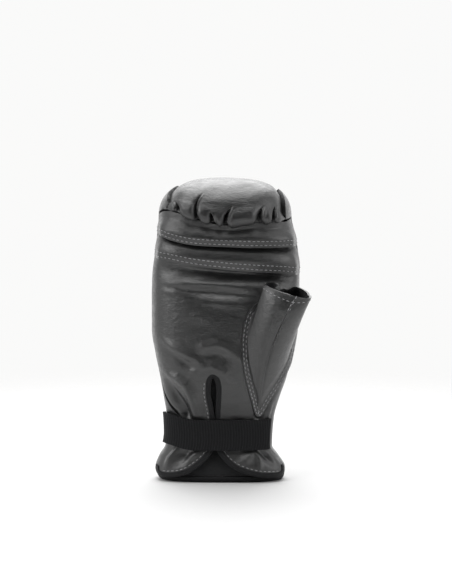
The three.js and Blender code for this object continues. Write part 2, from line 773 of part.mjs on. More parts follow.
function thumbFace(inner) {
  const foot = thumbLoop(0);
  const edge = thumbLoop(-thumbLap);
  const levels = [-1, 0, 0.08, 0.18, 0.3, 0.44, 0.58, 0.72, 0.86, 1];
  const loops = levels.map((level) =>
    foot.map((point, i) => {
      const turn = i / thumbColumns;
      if (level < 0) return onFront(edge[i], thumbWall + thumbSeat + palmReliefAt(edge[i]));
      const base = onFront(point, thumbWall + thumbSeat + palmReliefAt(point));
      if (level === 0) return base;
      const top = rimPoint(turn);
      const swell = 4 * level * (1 - level);
      const fromCrease = Math.min(turn, 1 - turn);
      const crease = creaseDepth * Math.exp(-((fromCrease / 0.045) ** 2)) * swell * level * 1.6;
      const lobes = creaseDepth * 0.8 * swell * Math.exp(-(((fromCrease - 0.14) / 0.09) ** 2));
      const place = base.lerp(top, level);
      place.x -= creaseDepth * swell * Math.exp(-((fromCrease / 0.12) ** 2));
      place.y += crease - lobes;
      return place;
    }),
  );
  const rows = levels.length - 1;
  return (i, j) => {
    const column = Math.round(i * thumbColumns) % thumbColumns;
    const row = Math.round(j * rows);
    const here = loops[row][column];
    if (!inner) return here.clone();
    const next = loops[row][(column + 1) % thumbColumns];
    const last = loops[row][(column + thumbColumns - 1) % thumbColumns];
    const above = loops[Math.min(rows, row + 1)][column];
    const below = loops[Math.max(0, row - 1)][column];
    const out = next.clone().sub(last).cross(above.clone().sub(below)).normalize();
    return here.clone().addScaledVector(out, thumbWall);
  };
}

function palmReliefAt({ x, z }) {
  return Math.max(0, palmRelief(x / sideAt(1, z), z));
}

function thumbSleeve() {
  return gridSolid(thumbColumns, 9, thumbFace(false), thumbFace(true), true);
}

// Elastic wrist strap, pulled straight over the palm side
function wristStrap() {
  const columns = 20;
  const face = (grow) => (i, j) => {
    const across = acrossAt(strapLeftAngle + (strapRightAngle - strapLeftAngle) * i);
    const tilt = strapTilt * smoothStep(0.5, 1, -across);
    return frontPoint(across, strapFoot + tilt + strapWidth * j, grow);
  };
  return gridSolid(columns, 3, face(strapClearance + strapThickness), face(strapClearance));
}

// Bindings
function roundedSection(width, height, bevel) {
  const w = width / 2;
  const h = height / 2;
  return [
    [-w, -h + bevel],
    [-w + bevel, -h],
    [w - bevel, -h],
    [w, -h + bevel],
    [w, h - bevel],
    [w - bevel, h],
    [-w + bevel, h],
    [-w, h - bevel],
  ];
}

function palmBinding() {
  const middle = -leather / 2;
  const line = palmEdgeLine(bindingSteps).map((point) => {
    const centre = onFront(point, middle);
    const out = onFront(point, middle + 1).sub(centre);
    return { centre, out };
  });
  return sweptSolid(line, roundedSection(bindingWidth, bindingThickness, bindingThickness * 0.3));
}

// A place on the cuff's outline, part way through its wall. The palm side is leather only.
function cuffPlace(turn, z, front, behind, sideInset) {
  const angle = 360 * turn;
  const across = acrossAt(angle);
  const fore = -Math.sign(Math.cos(angle * degrees)) * remaining(across);
  const inset = fore < 0 ? front : behind(across);
  return shellPoint(across, { fore, up: 0, z }, { sideInset, inset });
}

function hemBinding() {
  const bevel = hemHeight * 0.2;
  const stops = [0, bevel, hemHeight - bevel, hemHeight];
  const face = (inner) => (i, j) => {
    const row = Math.round(j * 3);
    const trim = row === 0 || row === 3 ? bevel : 0;
    const wall = seamThickness + padThickness * padShare(1) + liningThickness + seamGap;
    const front = liningInset + (inner ? liningThickness + seamGap - trim : trim - 3 * seamGap);
    const behind = inner ? wall - trim : trim;
    return cuffPlace(i, stops[row], front, () => behind, behind);
  };
  return gridSolid(36, 3, face(false), face(true), true);
}

// Lining of the cuff, seen through the slit and between the flaps
function cuffLining() {
  const stops = rowHeights.filter((height) => height < liningTop / gloveHeight);
  const face = (extra) => (i, j) => {
    const z = gloveHeight * stops[Math.round(j * (stops.length - 1))];
    const path = pathEnd + padFoot - z;
    const behind = (across) => wallThickness(across, path, path) + liningGap + extra;
    return cuffPlace(i, z, liningInset + extra, behind, gussetWall + liningGap + extra);
  };
  return gridSolid(20, stops.length - 1, face(0), face(liningThickness), true);
}

function finish(color, roughness) {
  return new THREE.MeshStandardMaterial({ color, roughness, metalness: 0 });
}

const greyLeather = finish(0x4a4b4b, 0.5);
const paleLeather = finish(0x58595a, 0.5);
const blackTrim = finish(0x1d1e20, 0.55);
const webbing = finish(0x1b1c1e, 0.85);

const pieces = [
  ['striking_pad', strikingPad(), greyLeather],
  ['side_gusset_left', sideGusset(-1), greyLeather],
  ['side_gusset_right', sideGusset(1), greyLeather],
  ['finger_band', bandSolid('finger', 'pad', false), paleLeather],
  ['grip_band', bandSolid('grip', 'finger', true), paleLeather],
  ['palm_panel', palmPanel(), greyLeather],
  ['thumb_sleeve', thumbSleeve(), paleLeather],
  ['wrist_strap', wristStrap(), webbing],
  ['palm_binding', palmBinding(), blackTrim],
  ['hem_binding', hemBinding(), blackTrim],
  ['cuff_lining', cuffLining(), blackTrim],
];

// The pieces are centred on the glove's outer box, so the origin is under its middle.
const glove = new THREE.Group();
for (const [name, geometry, material] of pieces) {
  const mesh = new THREE.Mesh(geometry, material);
  mesh.name = name;
  glove.add(mesh);
}
const bounds = new THREE.Box3().setFromObject(glove);
const centre = bounds.getCenter(new THREE.Vector3());
for (const mesh of glove.children) mesh.position.set(-centre.x, -centre.y, -bounds.min.z);

export default glove;
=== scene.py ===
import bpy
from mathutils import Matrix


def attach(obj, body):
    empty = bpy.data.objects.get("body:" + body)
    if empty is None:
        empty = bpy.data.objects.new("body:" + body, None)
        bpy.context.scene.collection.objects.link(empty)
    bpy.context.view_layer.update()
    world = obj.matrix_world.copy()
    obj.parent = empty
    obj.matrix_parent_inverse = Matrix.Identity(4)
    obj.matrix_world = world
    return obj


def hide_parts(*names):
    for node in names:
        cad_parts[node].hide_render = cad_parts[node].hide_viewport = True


bl_info = {
    "name": "Bag glove dressing",
    "version": (1, 0, 0),
    "blender": (4, 5, 0),
    "location": "View3D > Sidebar > Glove",
    "description": "Dresses the packed glove in leather, trim and stitches, in a small studio",
    "category": "Object",
}

import math
from functools import partial

import bpy
import numpy as np
from bpy.props import FloatProperty, FloatVectorProperty, IntProperty, PointerProperty
from bpy.types import Operator, Panel, PropertyGroup
from mathutils import Vector

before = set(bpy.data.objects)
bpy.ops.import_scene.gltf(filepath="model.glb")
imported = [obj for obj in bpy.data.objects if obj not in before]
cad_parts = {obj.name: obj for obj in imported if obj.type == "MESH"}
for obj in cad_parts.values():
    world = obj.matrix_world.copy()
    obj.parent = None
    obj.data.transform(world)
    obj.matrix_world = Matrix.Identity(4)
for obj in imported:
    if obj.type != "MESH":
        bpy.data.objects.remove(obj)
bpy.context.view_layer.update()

MM = 0.001


def table(names, rows):
    """Columns by name, from rows of numbers."""
    return dict(zip(names.split(), np.array(rows, float).T))


# Body sections from the cuff up: heights as shares of the glove's height,
# left and right as shares of half its width, front and back as shares of half its depth.
SECTIONS = table("height left right front back", [
    (0.000, 0.900, 0.780, 0.600, 0.675),
    (0.040, 0.960, 0.800, 0.610, 0.690),
    (0.080, 0.905, 0.710, 0.550, 0.675),
    (0.113, 0.825, 0.625, 0.500, 0.662),
    (0.161, 0.795, 0.632, 0.487, 0.650),
    (0.211, 0.802, 0.652, 0.512, 0.662),
    (0.274, 0.839, 0.721, 0.675, 0.700),
    (0.342, 0.885, 0.816, 0.787, 0.750),
    (0.422, 0.951, 0.893, 0.837, 0.825),
    (0.503, 1.000, 0.951, 0.825, 0.887),
    (0.603, 1.000, 0.984, 0.787, 0.950),
    (0.664, 0.995, 0.989, 0.737, 0.975),
    (0.704, 0.984, 0.989, 0.700, 0.987),
    (0.744, 0.961, 0.977, 0.737, 1.000),
    (0.805, 0.930, 0.940, 0.812, 1.007),
    (0.865, 0.905, 0.880, 0.875, 1.012),
])

# Palm-side seams: place across the front, from -1 at the left side to 1 at the right,
# and the seams' heights as shares of the glove's height.
FRONT_SEAMS = table("across pad finger grip", [
    (-1.00, 0.889, 0.838, 0.759),
    (-0.90, 0.902, 0.830, 0.754),
    (-0.74, 0.894, 0.816, 0.748),
    (-0.40, 0.870, 0.801, 0.733),
    (0.05, 0.853, 0.796, 0.720),
    (0.40, 0.861, 0.793, 0.713),
    (0.70, 0.862, 0.793, 0.708),
    (0.90, 0.868, 0.795, 0.702),
    (1.00, 0.879, 0.797, 0.699),
])

# Side seams between the palm and the gussets, in degrees round from the front.
SIDE_SEAMS = table("height left right", [
    (0.000, 75, 75),
    (0.070, 75, 73),
    (0.111, 66, 64),
    (0.161, 46, 62),
    (0.211, 45, 62),
    (0.251, 58, 64),
    (0.302, 72, 70),
    (0.362, 75, 75),
    (0.955, 75, 75),
])

# Grooves between the pad and the gussets: how far along the pad, from its front seam to the cuff,
# and how far out to each side, as a share of the half width there.
PAD_GROOVES = table("along left right", [
    (0.00, 0.862, 0.895),
    (0.08, 0.850, 0.880),
    (0.14, 0.790, 0.840),
    (0.20, 0.700, 0.790),
    (0.30, 0.720, 0.800),
    (0.45, 0.800, 0.820),
    (0.75, 0.800, 0.800),
    (1.00, 0.740, 0.740),
])

# Padding along the same path, as shares of the full pad thickness.
PAD_PROFILE = table("along thick", [
    (0.00, 0.40),
    (0.08, 0.62),
    (0.19, 0.74),
    (0.30, 0.88),
    (0.40, 1.00),
    (0.55, 0.92),
    (0.80, 0.60),
    (0.93, 0.42),
    (1.00, 0.20),
])

# Gathers of the pad's front edge: place across at the seam and at the top end, sideways bow,
# reach up the pad in lip rolls, width and depth in lip bulges, and the ridge beside it,
# as a share of the depth, to the right if it is above zero and to the left below.
GATHERS = table("across top bow reach width depth ridge", [
    (-0.720, -0.780, 0.020, 1.20, 0.15, 0.60, -0.35),
    (-0.400, -0.310, -0.085, 2.30, 0.09, 0.60, 0.40),
    (-0.185, -0.255, 0.020, 1.00, 0.10, 0.62, 0.50),
    (0.000, 0.110, -0.040, 1.50, 0.10, 0.66, 0.60),
    (0.500, 0.575, -0.015, 1.50, 0.16, 0.62, 0.50),
    (0.700, 0.760, 0.010, 1.70, 0.10, 0.62, 0.45),
])

# Folds of the palm leather. Rows with the same number are one fold's points, with the place across,
# the height, the half width as a share of half the glove's width, and the rise in leather thicknesses.
PALM_FOLDS = table("fold across height wide rise", [
    (1, -1.00, 0.705, 0.080, 0.00),
    (1, -0.60, 0.703, 0.090, -0.90),
    (1, -0.05, 0.694, 0.110, -3.00),
    (1, 0.60, 0.686, 0.110, -3.00),
    (1, 1.00, 0.680, 0.090, -0.60),
    (2, -0.84, 0.664, 0.045, 0.10),
    (2, -0.70, 0.662, 0.050, 0.90),
    (2, -0.28, 0.660, 0.050, 1.20),
    (2, 0.14, 0.655, 0.050, 0.50),
    (2, 0.45, 0.652, 0.050, 0.10),
    (3, -0.90, 0.636, 0.035, 0.10),
    (3, -0.70, 0.631, 0.035, 0.60),
    (3, -0.50, 0.624, 0.040, 0.10),
    (4, -0.60, 0.638, 0.050, -0.20),
    (4, -0.36, 0.634, 0.055, -1.10),
    (4, 0.05, 0.627, 0.060, -1.40),
    (4, 0.40, 0.618, 0.060, -0.60),
    (5, -0.36, 0.603, 0.050, 0.10),
    (5, -0.12, 0.598, 0.055, 0.60),
    (5, 0.26, 0.590, 0.050, 0.20),
    (6, -0.50, 0.558, 0.060, 0.10),
    (6, -0.33, 0.552, 0.075, 0.55),
    (6, -0.18, 0.548, 0.060, 0.10),
    (7, -0.90, 0.484, 0.050, 0.10),
    (7, -0.72, 0.453, 0.060, 1.10),
    (7, -0.52, 0.426, 0.075, 1.10),
    (7, -0.28, 0.396, 0.060, 0.15),
    (8, -0.80, 0.438, 0.060, -0.10),
    (8, -0.58, 0.402, 0.065, -1.10),
    (8, -0.34, 0.374, 0.060, -0.20),
    (9, -0.42, 0.440, 0.050, 0.10),
    (9, -0.30, 0.455, 0.070, 0.90),
    (9, -0.12, 0.463, 0.080, 1.20),
    (9, 0.04, 0.446, 0.080, 1.00),
    (9, 0.24, 0.408, 0.055, 0.10),
    (10, -0.26, 0.430, 0.060, -0.10),
    (10, -0.08, 0.428, 0.075, -0.80),
    (10, 0.08, 0.415, 0.050, -0.20),
    (11, -0.58, 0.342, 0.055, 0.20),
    (11, -0.42, 0.376, 0.075, 1.00),
    (11, -0.20, 0.390, 0.080, 1.40),
    (11, -0.02, 0.368, 0.065, 1.20),
    (11, 0.02, 0.330, 0.060, 0.10),
    (12, -0.92, 0.366, 0.055, 0.25),
    (12, -0.74, 0.350, 0.060, 1.50),
    (12, -0.60, 0.325, 0.070, 2.25),
    (12, -0.52, 0.280, 0.080, 2.62),
    (12, -0.46, 0.200, 0.080, 2.00),
    (13, -0.90, 0.330, 0.060, -0.75),
    (13, -0.80, 0.292, 0.070, -2.38),
    (13, -0.70, 0.252, 0.075, -2.88),
    (13, -0.65, 0.200, 0.075, -2.62),
    (14, 0.16, 0.330, 0.160, 0.10),
    (14, 0.22, 0.270, 0.190, 0.80),
    (14, 0.26, 0.205, 0.170, 0.40),
    (15, 0.92, 0.345, 0.070, -0.80),
    (15, 0.82, 0.300, 0.090, -3.00),
    (15, 0.71, 0.245, 0.090, -4.20),
    (15, 0.67, 0.200, 0.070, -3.20),
    (16, 0.88, 0.258, 0.040, 0.90),
    (16, 0.89, 0.235, 0.045, 2.10),
    (16, 0.90, 0.200, 0.045, 1.80),
    (17, -0.80, 0.112, 0.045, 1.20),
    (17, -0.83, 0.080, 0.050, 1.50),
    (17, -0.85, 0.048, 0.045, 0.45),
    (18, -0.60, 0.118, 0.070, -1.80),
    (18, -0.64, 0.090, 0.080, -2.10),
    (18, -0.70, 0.062, 0.070, -0.30),
    (19, -0.58, 0.076, 0.050, 0.45),
    (19, -0.48, 0.095, 0.055, 1.35),
    (19, -0.40, 0.110, 0.050, 0.90),
    (20, 0.16, 0.058, 0.050, 0.15),
    (20, 0.36, 0.078, 0.055, 1.35),
    (20, 0.58, 0.104, 0.050, 0.90),
    (21, 0.64, 0.110, 0.040, 0.90),
    (21, 0.61, 0.078, 0.045, 1.20),
    (21, 0.57, 0.050, 0.040, 0.30),
    (22, 0.70, 0.114, 0.060, -1.65),
    (22, 0.78, 0.084, 0.065, -1.95),
    (22, 0.84, 0.058, 0.055, -0.45),
])

# Binding of the palm's cuff edge and slit, from the left side seam to the right one:
# place across the front and height, as shares of the half width and the glove's height.
PALM_EDGE = table("across height", [
    (-0.965, 0.0480),
    (-0.955, 0.0340),
    (-0.920, 0.0265),
    (-0.840, 0.0250),
    (-0.690, 0.0290),
    (-0.560, 0.0380),
    (-0.450, 0.0550),
    (-0.360, 0.0730),
    (-0.290, 0.0930),
    (-0.250, 0.1130),
    (-0.225, 0.1510),
    (-0.228, 0.2010),
    (-0.246, 0.2430),
    (-0.280, 0.2920),
    (-0.275, 0.3270),
    (-0.245, 0.3520),
    (-0.195, 0.3630),
    (-0.140, 0.3520),
    (-0.110, 0.3270),
    (-0.112, 0.2920),
    (-0.129, 0.2430),
    (-0.136, 0.2010),
    (-0.140, 0.1510),
    (-0.115, 0.1130),
    (-0.050, 0.0920),
    (0.060, 0.0690),
    (0.220, 0.0490),
    (0.450, 0.0330),
    (0.700, 0.0250),
    (0.920, 0.0255),
    (0.955, 0.0340),
    (0.965, 0.0500),
])

# Stitched foot of the thumb, once round from its lowest point and up its inner side:
# turn as a share of the loop, place across the front, and height as a share of the glove's height.
THUMB_FOOT = table("turn across height", [
    (0.00, 0.660, 0.227),
    (0.08, 0.440, 0.292),
    (0.16, 0.300, 0.372),
    (0.24, 0.245, 0.444),
    (0.32, 0.245, 0.503),
    (0.39, 0.290, 0.555),
    (0.45, 0.400, 0.591),
    (0.51, 0.570, 0.609),
    (0.57, 0.760, 0.609),
    (0.63, 0.900, 0.583),
    (0.70, 0.965, 0.523),
    (0.78, 0.975, 0.453),
    (0.85, 0.950, 0.392),
    (0.91, 0.870, 0.337),
    (0.96, 0.760, 0.277),
])


def length(name, description, millimetres):
    """A property that holds a length."""
    return FloatProperty(
        name=name, description=description, default=millimetres * MM, unit="LENGTH", precision=5
    )


def share(name, description, value):
    """A property that holds a share or a plain number."""
    return FloatProperty(name=name, description=description, default=value)


def colour(name, description, value):
    """A property that holds a colour."""
    return FloatVectorProperty(name=name, description=description, default=value, subtype="COLOR", size=3)


class GloveSizes(PropertyGroup):
    """Sizes of the glove's body and its pieces."""

    height: length("Height", "From the floor to the top of the knuckles", 248.6)
    width: length("Width", "Of the hand, across the palm", 122)
    depth: length("Depth", "Of the hand, from palm to back", 80)
    crown_height: length("Crown height", "Of the rounded top over the knuckles", 33.6)
    squareness: share("Squareness", "Power of the body's rounded section", 2.65)
    axis: FloatVectorProperty(
        name="Axis",
        description="Place of the body's own axis on the floor",
        default=(-3.706 * MM, 5.793 * MM),
        size=2,
        unit="LENGTH",
    )
    leather: length("Leather", "Thickness of the palm and band leather", 1.6)
    seam_gap: length("Seam gap", "Between neighbouring pieces", 0.4)
    seam_lap: length("Seam lap", "How far a gusset reaches in under the palm and bands", 1.6)
    under_lap: length("Under lap", "How far the palm and the lower band reach up under the next one", 1.5)
    groove_gap: length("Groove gap", "Between the pad and the gussets, each side", 0.6)
    gusset_wall: length("Gusset wall", "Padding of the side gussets", 4)
    pad_thickness: length("Pad thickness", "Of the knuckle pad where it is thickest", 22)
    seam_thickness: length("Seam thickness", "Of the pad at its front seam", 2.4)
    lip_bulge: length("Lip bulge", "How far the pad stands out over its front seam", 6)
    lip_roll: length("Lip roll", "Height over which the pad rolls out", 11)
    groove_depth: length("Groove depth", "Of the grooves beside the pad", 2.5)
    pad_puff: length("Pad puff", "How far the pad swells between its gathers", 2.6)
    unevenness: length("Unevenness", "Of the pad's leather", 0.35)
    band_rise: length("Band rise", "How far a band's lower edge stands out", 3.0)
    band_belly: length("Band belly", "How far a band's middle swells", 1.8)
    tuck: length("Tuck", "Of the lower band's top, back behind the upper band", 2.2)
    edge_margin: length("Edge margin", "From a band's lower edge to its first stitch row", 2.1)
    row_space: length("Row space", "Between the two rows of a double stitch", 3.4)
    hem_height: length("Hem height", "Of the black hem on the floor", 5)
    binding_width: length("Binding width", "Of the tape round the slit and the flaps", 4.3)
    binding_thickness: length("Binding thickness", "Of the folded tape over the leather", 3.2)
    tape_margin: length("Tape margin", "From the tape to the stitch row beside it", 0.9)
    strap_width: length("Strap width", "Of the elastic", 25)
    strap_thickness: length("Strap thickness", "Of the elastic", 1.8)
    strap_foot: length("Strap foot", "From the floor to the elastic", 27)
    strap_tilt: length("Strap tilt", "How far the elastic rises at its left end", 4.5)
    strap_clearance: length("Strap clearance", "Between the elastic and the leather", 1.4)
    lining: length("Lining", "Thickness of the lining", 1.4)
    lining_top: length("Lining top", "Where the lining ends inside", 87.5)
    lining_inset: length("Lining inset", "Of the lining behind the palm leather", 5)
    lining_gap: length("Lining gap", "Between the lining and the padding", 1)
    thumb_wall: length("Thumb wall", "Thickness of the thumb's leather", 1.8)
    thumb_lap: length("Thumb lap", "How far the thumb's foot lies over the palm's hole", 2.4)
    thumb_seat: length("Thumb seat", "Gap between the thumb's foot and the palm", 0.3)
    rim_width: length("Rim width", "Of the thumb's open end, side to side", 36.5)
    rim_depth: length("Rim depth", "Of the thumb's open end, front to back", 20)
    rim_dent: length("Rim dent", "Of the rim's far side", 10)
    crease_depth: length("Crease depth", "Of the fold down the thumb", 7)


class GloveStitches(PropertyGroup):
    """Sizes of the thread."""

    pitch: length("Pitch", "From one stitch to the next", 3.7)
    length: length("Length", "Of one stitch", 2.5)
    width: length("Width", "Of the thread", 0.58)
    lift: length("Lift", "Of the rows over the bands and the thumb", 0.1)
    palm_lift: length("Palm lift", "Of the rows over the palm leather", 0.15)
    seed: IntProperty(name="Seed", description="Of the small differences between stitches", default=7)


class GloveColours(PropertyGroup):
    """Colours of the finishes."""

    leather: colour("Leather", "Dark grey hide", (0.008, 0.0082, 0.0082))
    binding: colour("Binding", "Black tape", (0.006, 0.0062, 0.007))
    elastic: colour("Elastic", "Black webbing", (0.0065, 0.0067, 0.0074))
    lining: colour("Lining", "Black cloth", (0.020, 0.0204, 0.0212))
    thread: colour("Thread", "Grey thread", (0.46, 0.46, 0.47))
    floor: colour("Floor", "White studio floor", (0.54, 0.54, 0.54))


def smooth_step(low, high, value):
    """From 0 at low to 1 at high, with level ends."""
    t = np.clip((value - low) / (high - low), 0, 1)
    return t * t * (3 - 2 * t)


def bell(value):
    """A smooth bump, 1 in its middle."""
    return np.exp(-value ** 2)


def through_points(x, y, tangent, value):
    """The curve through points x and y with the given slopes, read at a value."""
    i = np.clip(np.searchsorted(x, value, side="right") - 1, 0, len(x) - 2)
    step = x[i + 1] - x[i]
    t = (value - x[i]) / step
    rise = y[i + 1] - y[i]
    first = tangent[i] * step
    last = tangent[i + 1] * step
    return y[i] + t * (first + t * (3 * rise - 2 * first - last + t * (first + last - 2 * rise)))


def unit(vectors):
    """Vectors made one long."""
    return vectors / np.maximum(np.linalg.norm(vectors, axis=-1, keepdims=True), 1e-12)


def column_curve(columns, along, name):
    """A smooth curve through one column of a table that never swings past its rows."""
    x, y = columns[along], columns[name]
    slope = np.diff(y) / np.diff(x)
    product = slope[:-1] * slope[1:]
    total = np.where(product > 0, slope[:-1] + slope[1:], 1)
    tangent = np.concatenate([slope[:1], np.where(product > 0, 2 * product / total, 0), slope[-1:]])
    return lambda value: through_points(x, y, tangent, np.clip(value, x[0], x[-1]))


def loop_curve(columns, along, name):
    """A smooth closed curve through one column, along a turn from 0 to 1."""
    x, y = columns[along], columns[name]
    around = np.concatenate([x[-2:] - 1, x, x[:3] + 1])
    values = np.concatenate([y[-2:], y, y[:3]])
    tangent = np.gradient(values, around)
    return lambda turn: through_points(around, values, tangent, np.mod(turn, 1))


def waves(seed, *places):
    """Gentle unevenness between about -1 and 1, the same each run. Places are in waves."""
    random = np.random.default_rng(seed)
    count = 7
    total = 0
    for _ in range(count):
        turns = random.normal(0, 1, len(places))
        total = total + np.sin(2 * math.pi * (sum(t * p for t, p in zip(turns, places)) + random.random()))
    return total / (count / 2)


class GloveShape:
    """The glove's outer surface, worked out from its sizes and the tables of shares."""

    def __init__(self, sizes):
        self.sizes = sizes
        self.half_width = sizes.width / 2
        self.half_depth = sizes.depth / 2
        self.crown_foot = sizes.height - sizes.crown_height
        self.sections = {name: column_curve(SECTIONS, "height", name) for name in SECTIONS}
        self.seams = {name: column_curve(FRONT_SEAMS, "across", name) for name in FRONT_SEAMS}
        self.side_seams = {name: column_curve(SIDE_SEAMS, "height", name) for name in SIDE_SEAMS}
        self.grooves = {name: column_curve(PAD_GROOVES, "along", name) for name in PAD_GROOVES}
        self.pad_share = column_curve(PAD_PROFILE, "along", "thick")
        middle_depth = (self.front_at(self.crown_foot) + self.back_at(self.crown_foot)) / 2
        self.crown_arc = math.pi * math.hypot(middle_depth, sizes.crown_height) / math.sqrt(2)
        self.pad_foot = sizes.hem_height + sizes.seam_gap
        self.path_end = self.crown_arc + self.crown_foot - self.pad_foot

    def place(self, x, y, z):
        """Points in the frame, from places about the body's own axis."""
        x, y, z = np.broadcast_arrays(x, y, z)
        return np.stack([x + self.sizes.axis[0], y + self.sizes.axis[1], z], axis=-1)

    def side_at(self, sign, z):
        """Half width at a height, on the left for a negative sign."""
        height = z / self.sizes.height
        left, right = self.sections["left"](height), self.sections["right"](height)
        return self.half_width * np.where(sign < 0, left, right)

    def front_at(self, z):
        """Depth in front of the axis."""
        return self.half_depth * self.sections["front"](z / self.sizes.height)

    def back_at(self, z):
        """Depth behind the axis."""
        return self.half_depth * self.sections["back"](z / self.sizes.height)

    def seam_height(self, name, across):
        """Height of a palm-side seam."""
        return self.sizes.height * self.seams[name](across)

    def remaining(self, *shares):
        """The other share of a rounded box, when one or two of its shares are known."""
        used = sum(np.abs(value) ** self.sizes.squareness for value in shares)
        return np.maximum(0, 1 - used) ** (1 / self.sizes.squareness)

    def across_at(self, angle):
        """Share across the front at an angle round from it."""
        sine, cosine = np.sin(angle), np.cos(angle)
        power = self.sizes.squareness
        return sine / (np.abs(sine) ** power + np.abs(cosine) ** power) ** (1 / power)

    def seam_angle(self, side, z, towards_front=0.0):
        """Angle of the side seam, moved a little towards the front."""
        angle = np.radians(self.side_seams["left" if side < 0 else "right"](z / self.sizes.height))
        return side * (angle - towards_front / self.half_depth)

    def across_step(self, step, z, gap):
        """Share across at one step of the palm side's width, from one side seam to the other."""
        left = self.seam_angle(-1, z, gap)
        right = self.seam_angle(1, z, gap)
        return self.across_at(left + (right - left) * step)

    def front_point(self, across, z, grow=0.0):
        """A point of the palm side. grow moves it out of the surface."""
        foot = np.minimum(z, self.crown_foot)
        level = np.maximum(0, z - self.crown_foot) / self.sizes.crown_height
        x = across * (self.side_at(across, foot) + grow)
        y = -(self.front_at(foot) + grow) * self.remaining(across, level)
        return self.place(x, y, z)

    def path_at_seam(self, across):
        """Where the pad's front seam lies on the path over the crown."""
        least_room, highest = 1e-6, 0.98
        above = self.seam_height("pad", across) - self.crown_foot
        room = self.sizes.crown_height * np.maximum(self.remaining(across), least_room)
        rise = np.clip(above / room, 0, highest)
        over = self.crown_arc / math.pi * np.arctan2(rise, self.remaining(rise))
        return np.where(above <= 0, above, over)

    def shell_coordinates(self, across, path):
        """Share towards the back, share of the crown's height, and foot height, along the path."""
        room = self.remaining(across)
        turn = math.pi * np.clip(path / self.crown_arc, 0, 1)
        sine, cosine = np.sin(turn), np.cos(turn)
        power = self.sizes.squareness
        reach = (np.abs(cosine) ** power + np.abs(sine) ** power) ** (1 / power)
        under = np.minimum(path, 0) - np.maximum(path - self.crown_arc, 0)
        return -room * cosine / reach, room * sine / reach, self.crown_foot + under

    def path_of(self, fore, up, z):
        """The path's length at a place on the shell."""
        down = np.where(fore < 0, z - self.crown_foot, self.crown_arc + self.crown_foot - z)
        return np.where(z < self.crown_foot, down, self.crown_arc / math.pi * np.arctan2(up, -fore))

    def shell_point(self, across, fore, up, z, grow=0.0, forward=0.0, side_inset=0.0, inset=0.0):
        """A point of the crown, the back or a side."""
        depth = np.where(fore < 0, self.front_at(z) + forward, self.back_at(z))
        x = across * (self.side_at(across, z) + grow - side_inset)
        y = fore * (depth + grow - inset)
        return self.place(x, y, z + up * (self.sizes.crown_height + grow - inset))

    def lip_at(self, from_seam):
        """How far the front of the pad stands out, from its rolled seam upwards."""
        roll = 1 - np.clip(from_seam / self.sizes.lip_roll, 0, 1)
        return self.sizes.lip_bulge * np.sqrt(np.maximum(0, 1 - roll * roll))

    def wall_thickness(self, across, path, from_seam):
        """Thickness of the padded wall."""
        sizes = self.sizes
        along = (path + sizes.lip_roll) / (self.path_end + sizes.lip_roll)
        padded = sizes.pad_thickness * self.pad_share(along)
        tapered = sizes.gusset_wall + (padded - sizes.gusset_wall) * (1 - across ** 4)
        grown = smooth_step(0, 1.4 * sizes.lip_roll, from_seam)
        return sizes.seam_thickness + (tapered - sizes.seam_thickness) * grown

    def pad_place(self, side_share, along, gap):
        """A place on the pad: share across, path, and path from its front seam."""
        left, right = self.grooves["left"](along), self.grooves["right"](along)
        groove = side_share * np.where(side_share < 0, left, right)
        start = self.path_at_seam(groove)
        path = start + along * (self.path_end - start)
        return groove + side_share * gap / self.half_width, path, path - start

    def strap_place(self, across):
        """Height of the elastic's middle, which rises towards its left end."""
        sizes = self.sizes
        return sizes.strap_foot + sizes.strap_width / 2 + sizes.strap_tilt * smooth_step(0.5, 1, -across)

    def palm_relief(self, across, z):
        """Rise of the palm leather's folds, which lie flat under the elastic and at the seams."""
        sizes = self.sizes
        pressed = 0.12
        full_from_strap, full_from_grip = 5 * MM, 6 * MM
        side_fade = (0.84, 0.98)
        from_strap = np.abs(z - self.strap_place(across)) - sizes.strap_width / 2
        mask = pressed + (1 - pressed) * smooth_step(-1 * MM, full_from_strap, from_strap)
        mask = mask * smooth_step(0, full_from_grip, self.seam_height("grip", across) - z)
        for side in (-1, 1):
            seam = self.across_at(self.seam_angle(side, z))
            mask = mask * (1 - smooth_step(*side_fade, across / seam))
        total = 0
        for number in np.unique(PALM_FOLDS["fold"]):
            fold = {name: values[PALM_FOLDS["fold"] == number] for name, values in PALM_FOLDS.items()}
            total = total + self.fold_rise(fold, across * self.half_width, z)
        return total * sizes.leather * mask

    def fold_rise(self, fold, x, z):
        """Rise of one fold, which runs through its points."""
        points = np.stack([fold["across"] * self.half_width, fold["height"] * self.sizes.height], axis=-1)
        rise = 0
        for i in range(len(points) - 1):
            (from_x, from_z), (long_x, long_z) = points[i], points[i + 1] - points[i]
            t = ((x - from_x) * long_x + (z - from_z) * long_z) / (long_x ** 2 + long_z ** 2)
            t = np.clip(t, 0, 1)
            wide = fold["wide"][i] + (fold["wide"][i + 1] - fold["wide"][i]) * t
            high = fold["rise"][i] + (fold["rise"][i + 1] - fold["rise"][i]) * t
            away = np.hypot(x - from_x - t * long_x, z - from_z - t * long_z)
            here = high * bell(away / (wide * self.half_width))
            rise = np.where(np.abs(here) > np.abs(rise), here, rise)
        return rise


def grid(columns, rows, closed=False):
    """Places 0 to 1 across and along a grid, as two arrays of rows by columns."""
    across = np.arange(columns) / columns if closed else np.linspace(0, 1, columns + 1)
    return np.meshgrid(across, np.linspace(0, 1, rows + 1))


def grid_faces(shape, closed=False):
    """Four-cornered faces of a grid of points."""
    rows, columns = shape[:2]
    index = np.arange(rows * columns).reshape(rows, columns)
    if closed:
        index = np.concatenate([index, index[:, :1]], axis=1)
    corners = [index[:-1, :-1], index[:-1, 1:], index[1:, 1:], index[1:, :-1]]
    return np.stack([corner.ravel() for corner in corners], axis=1)


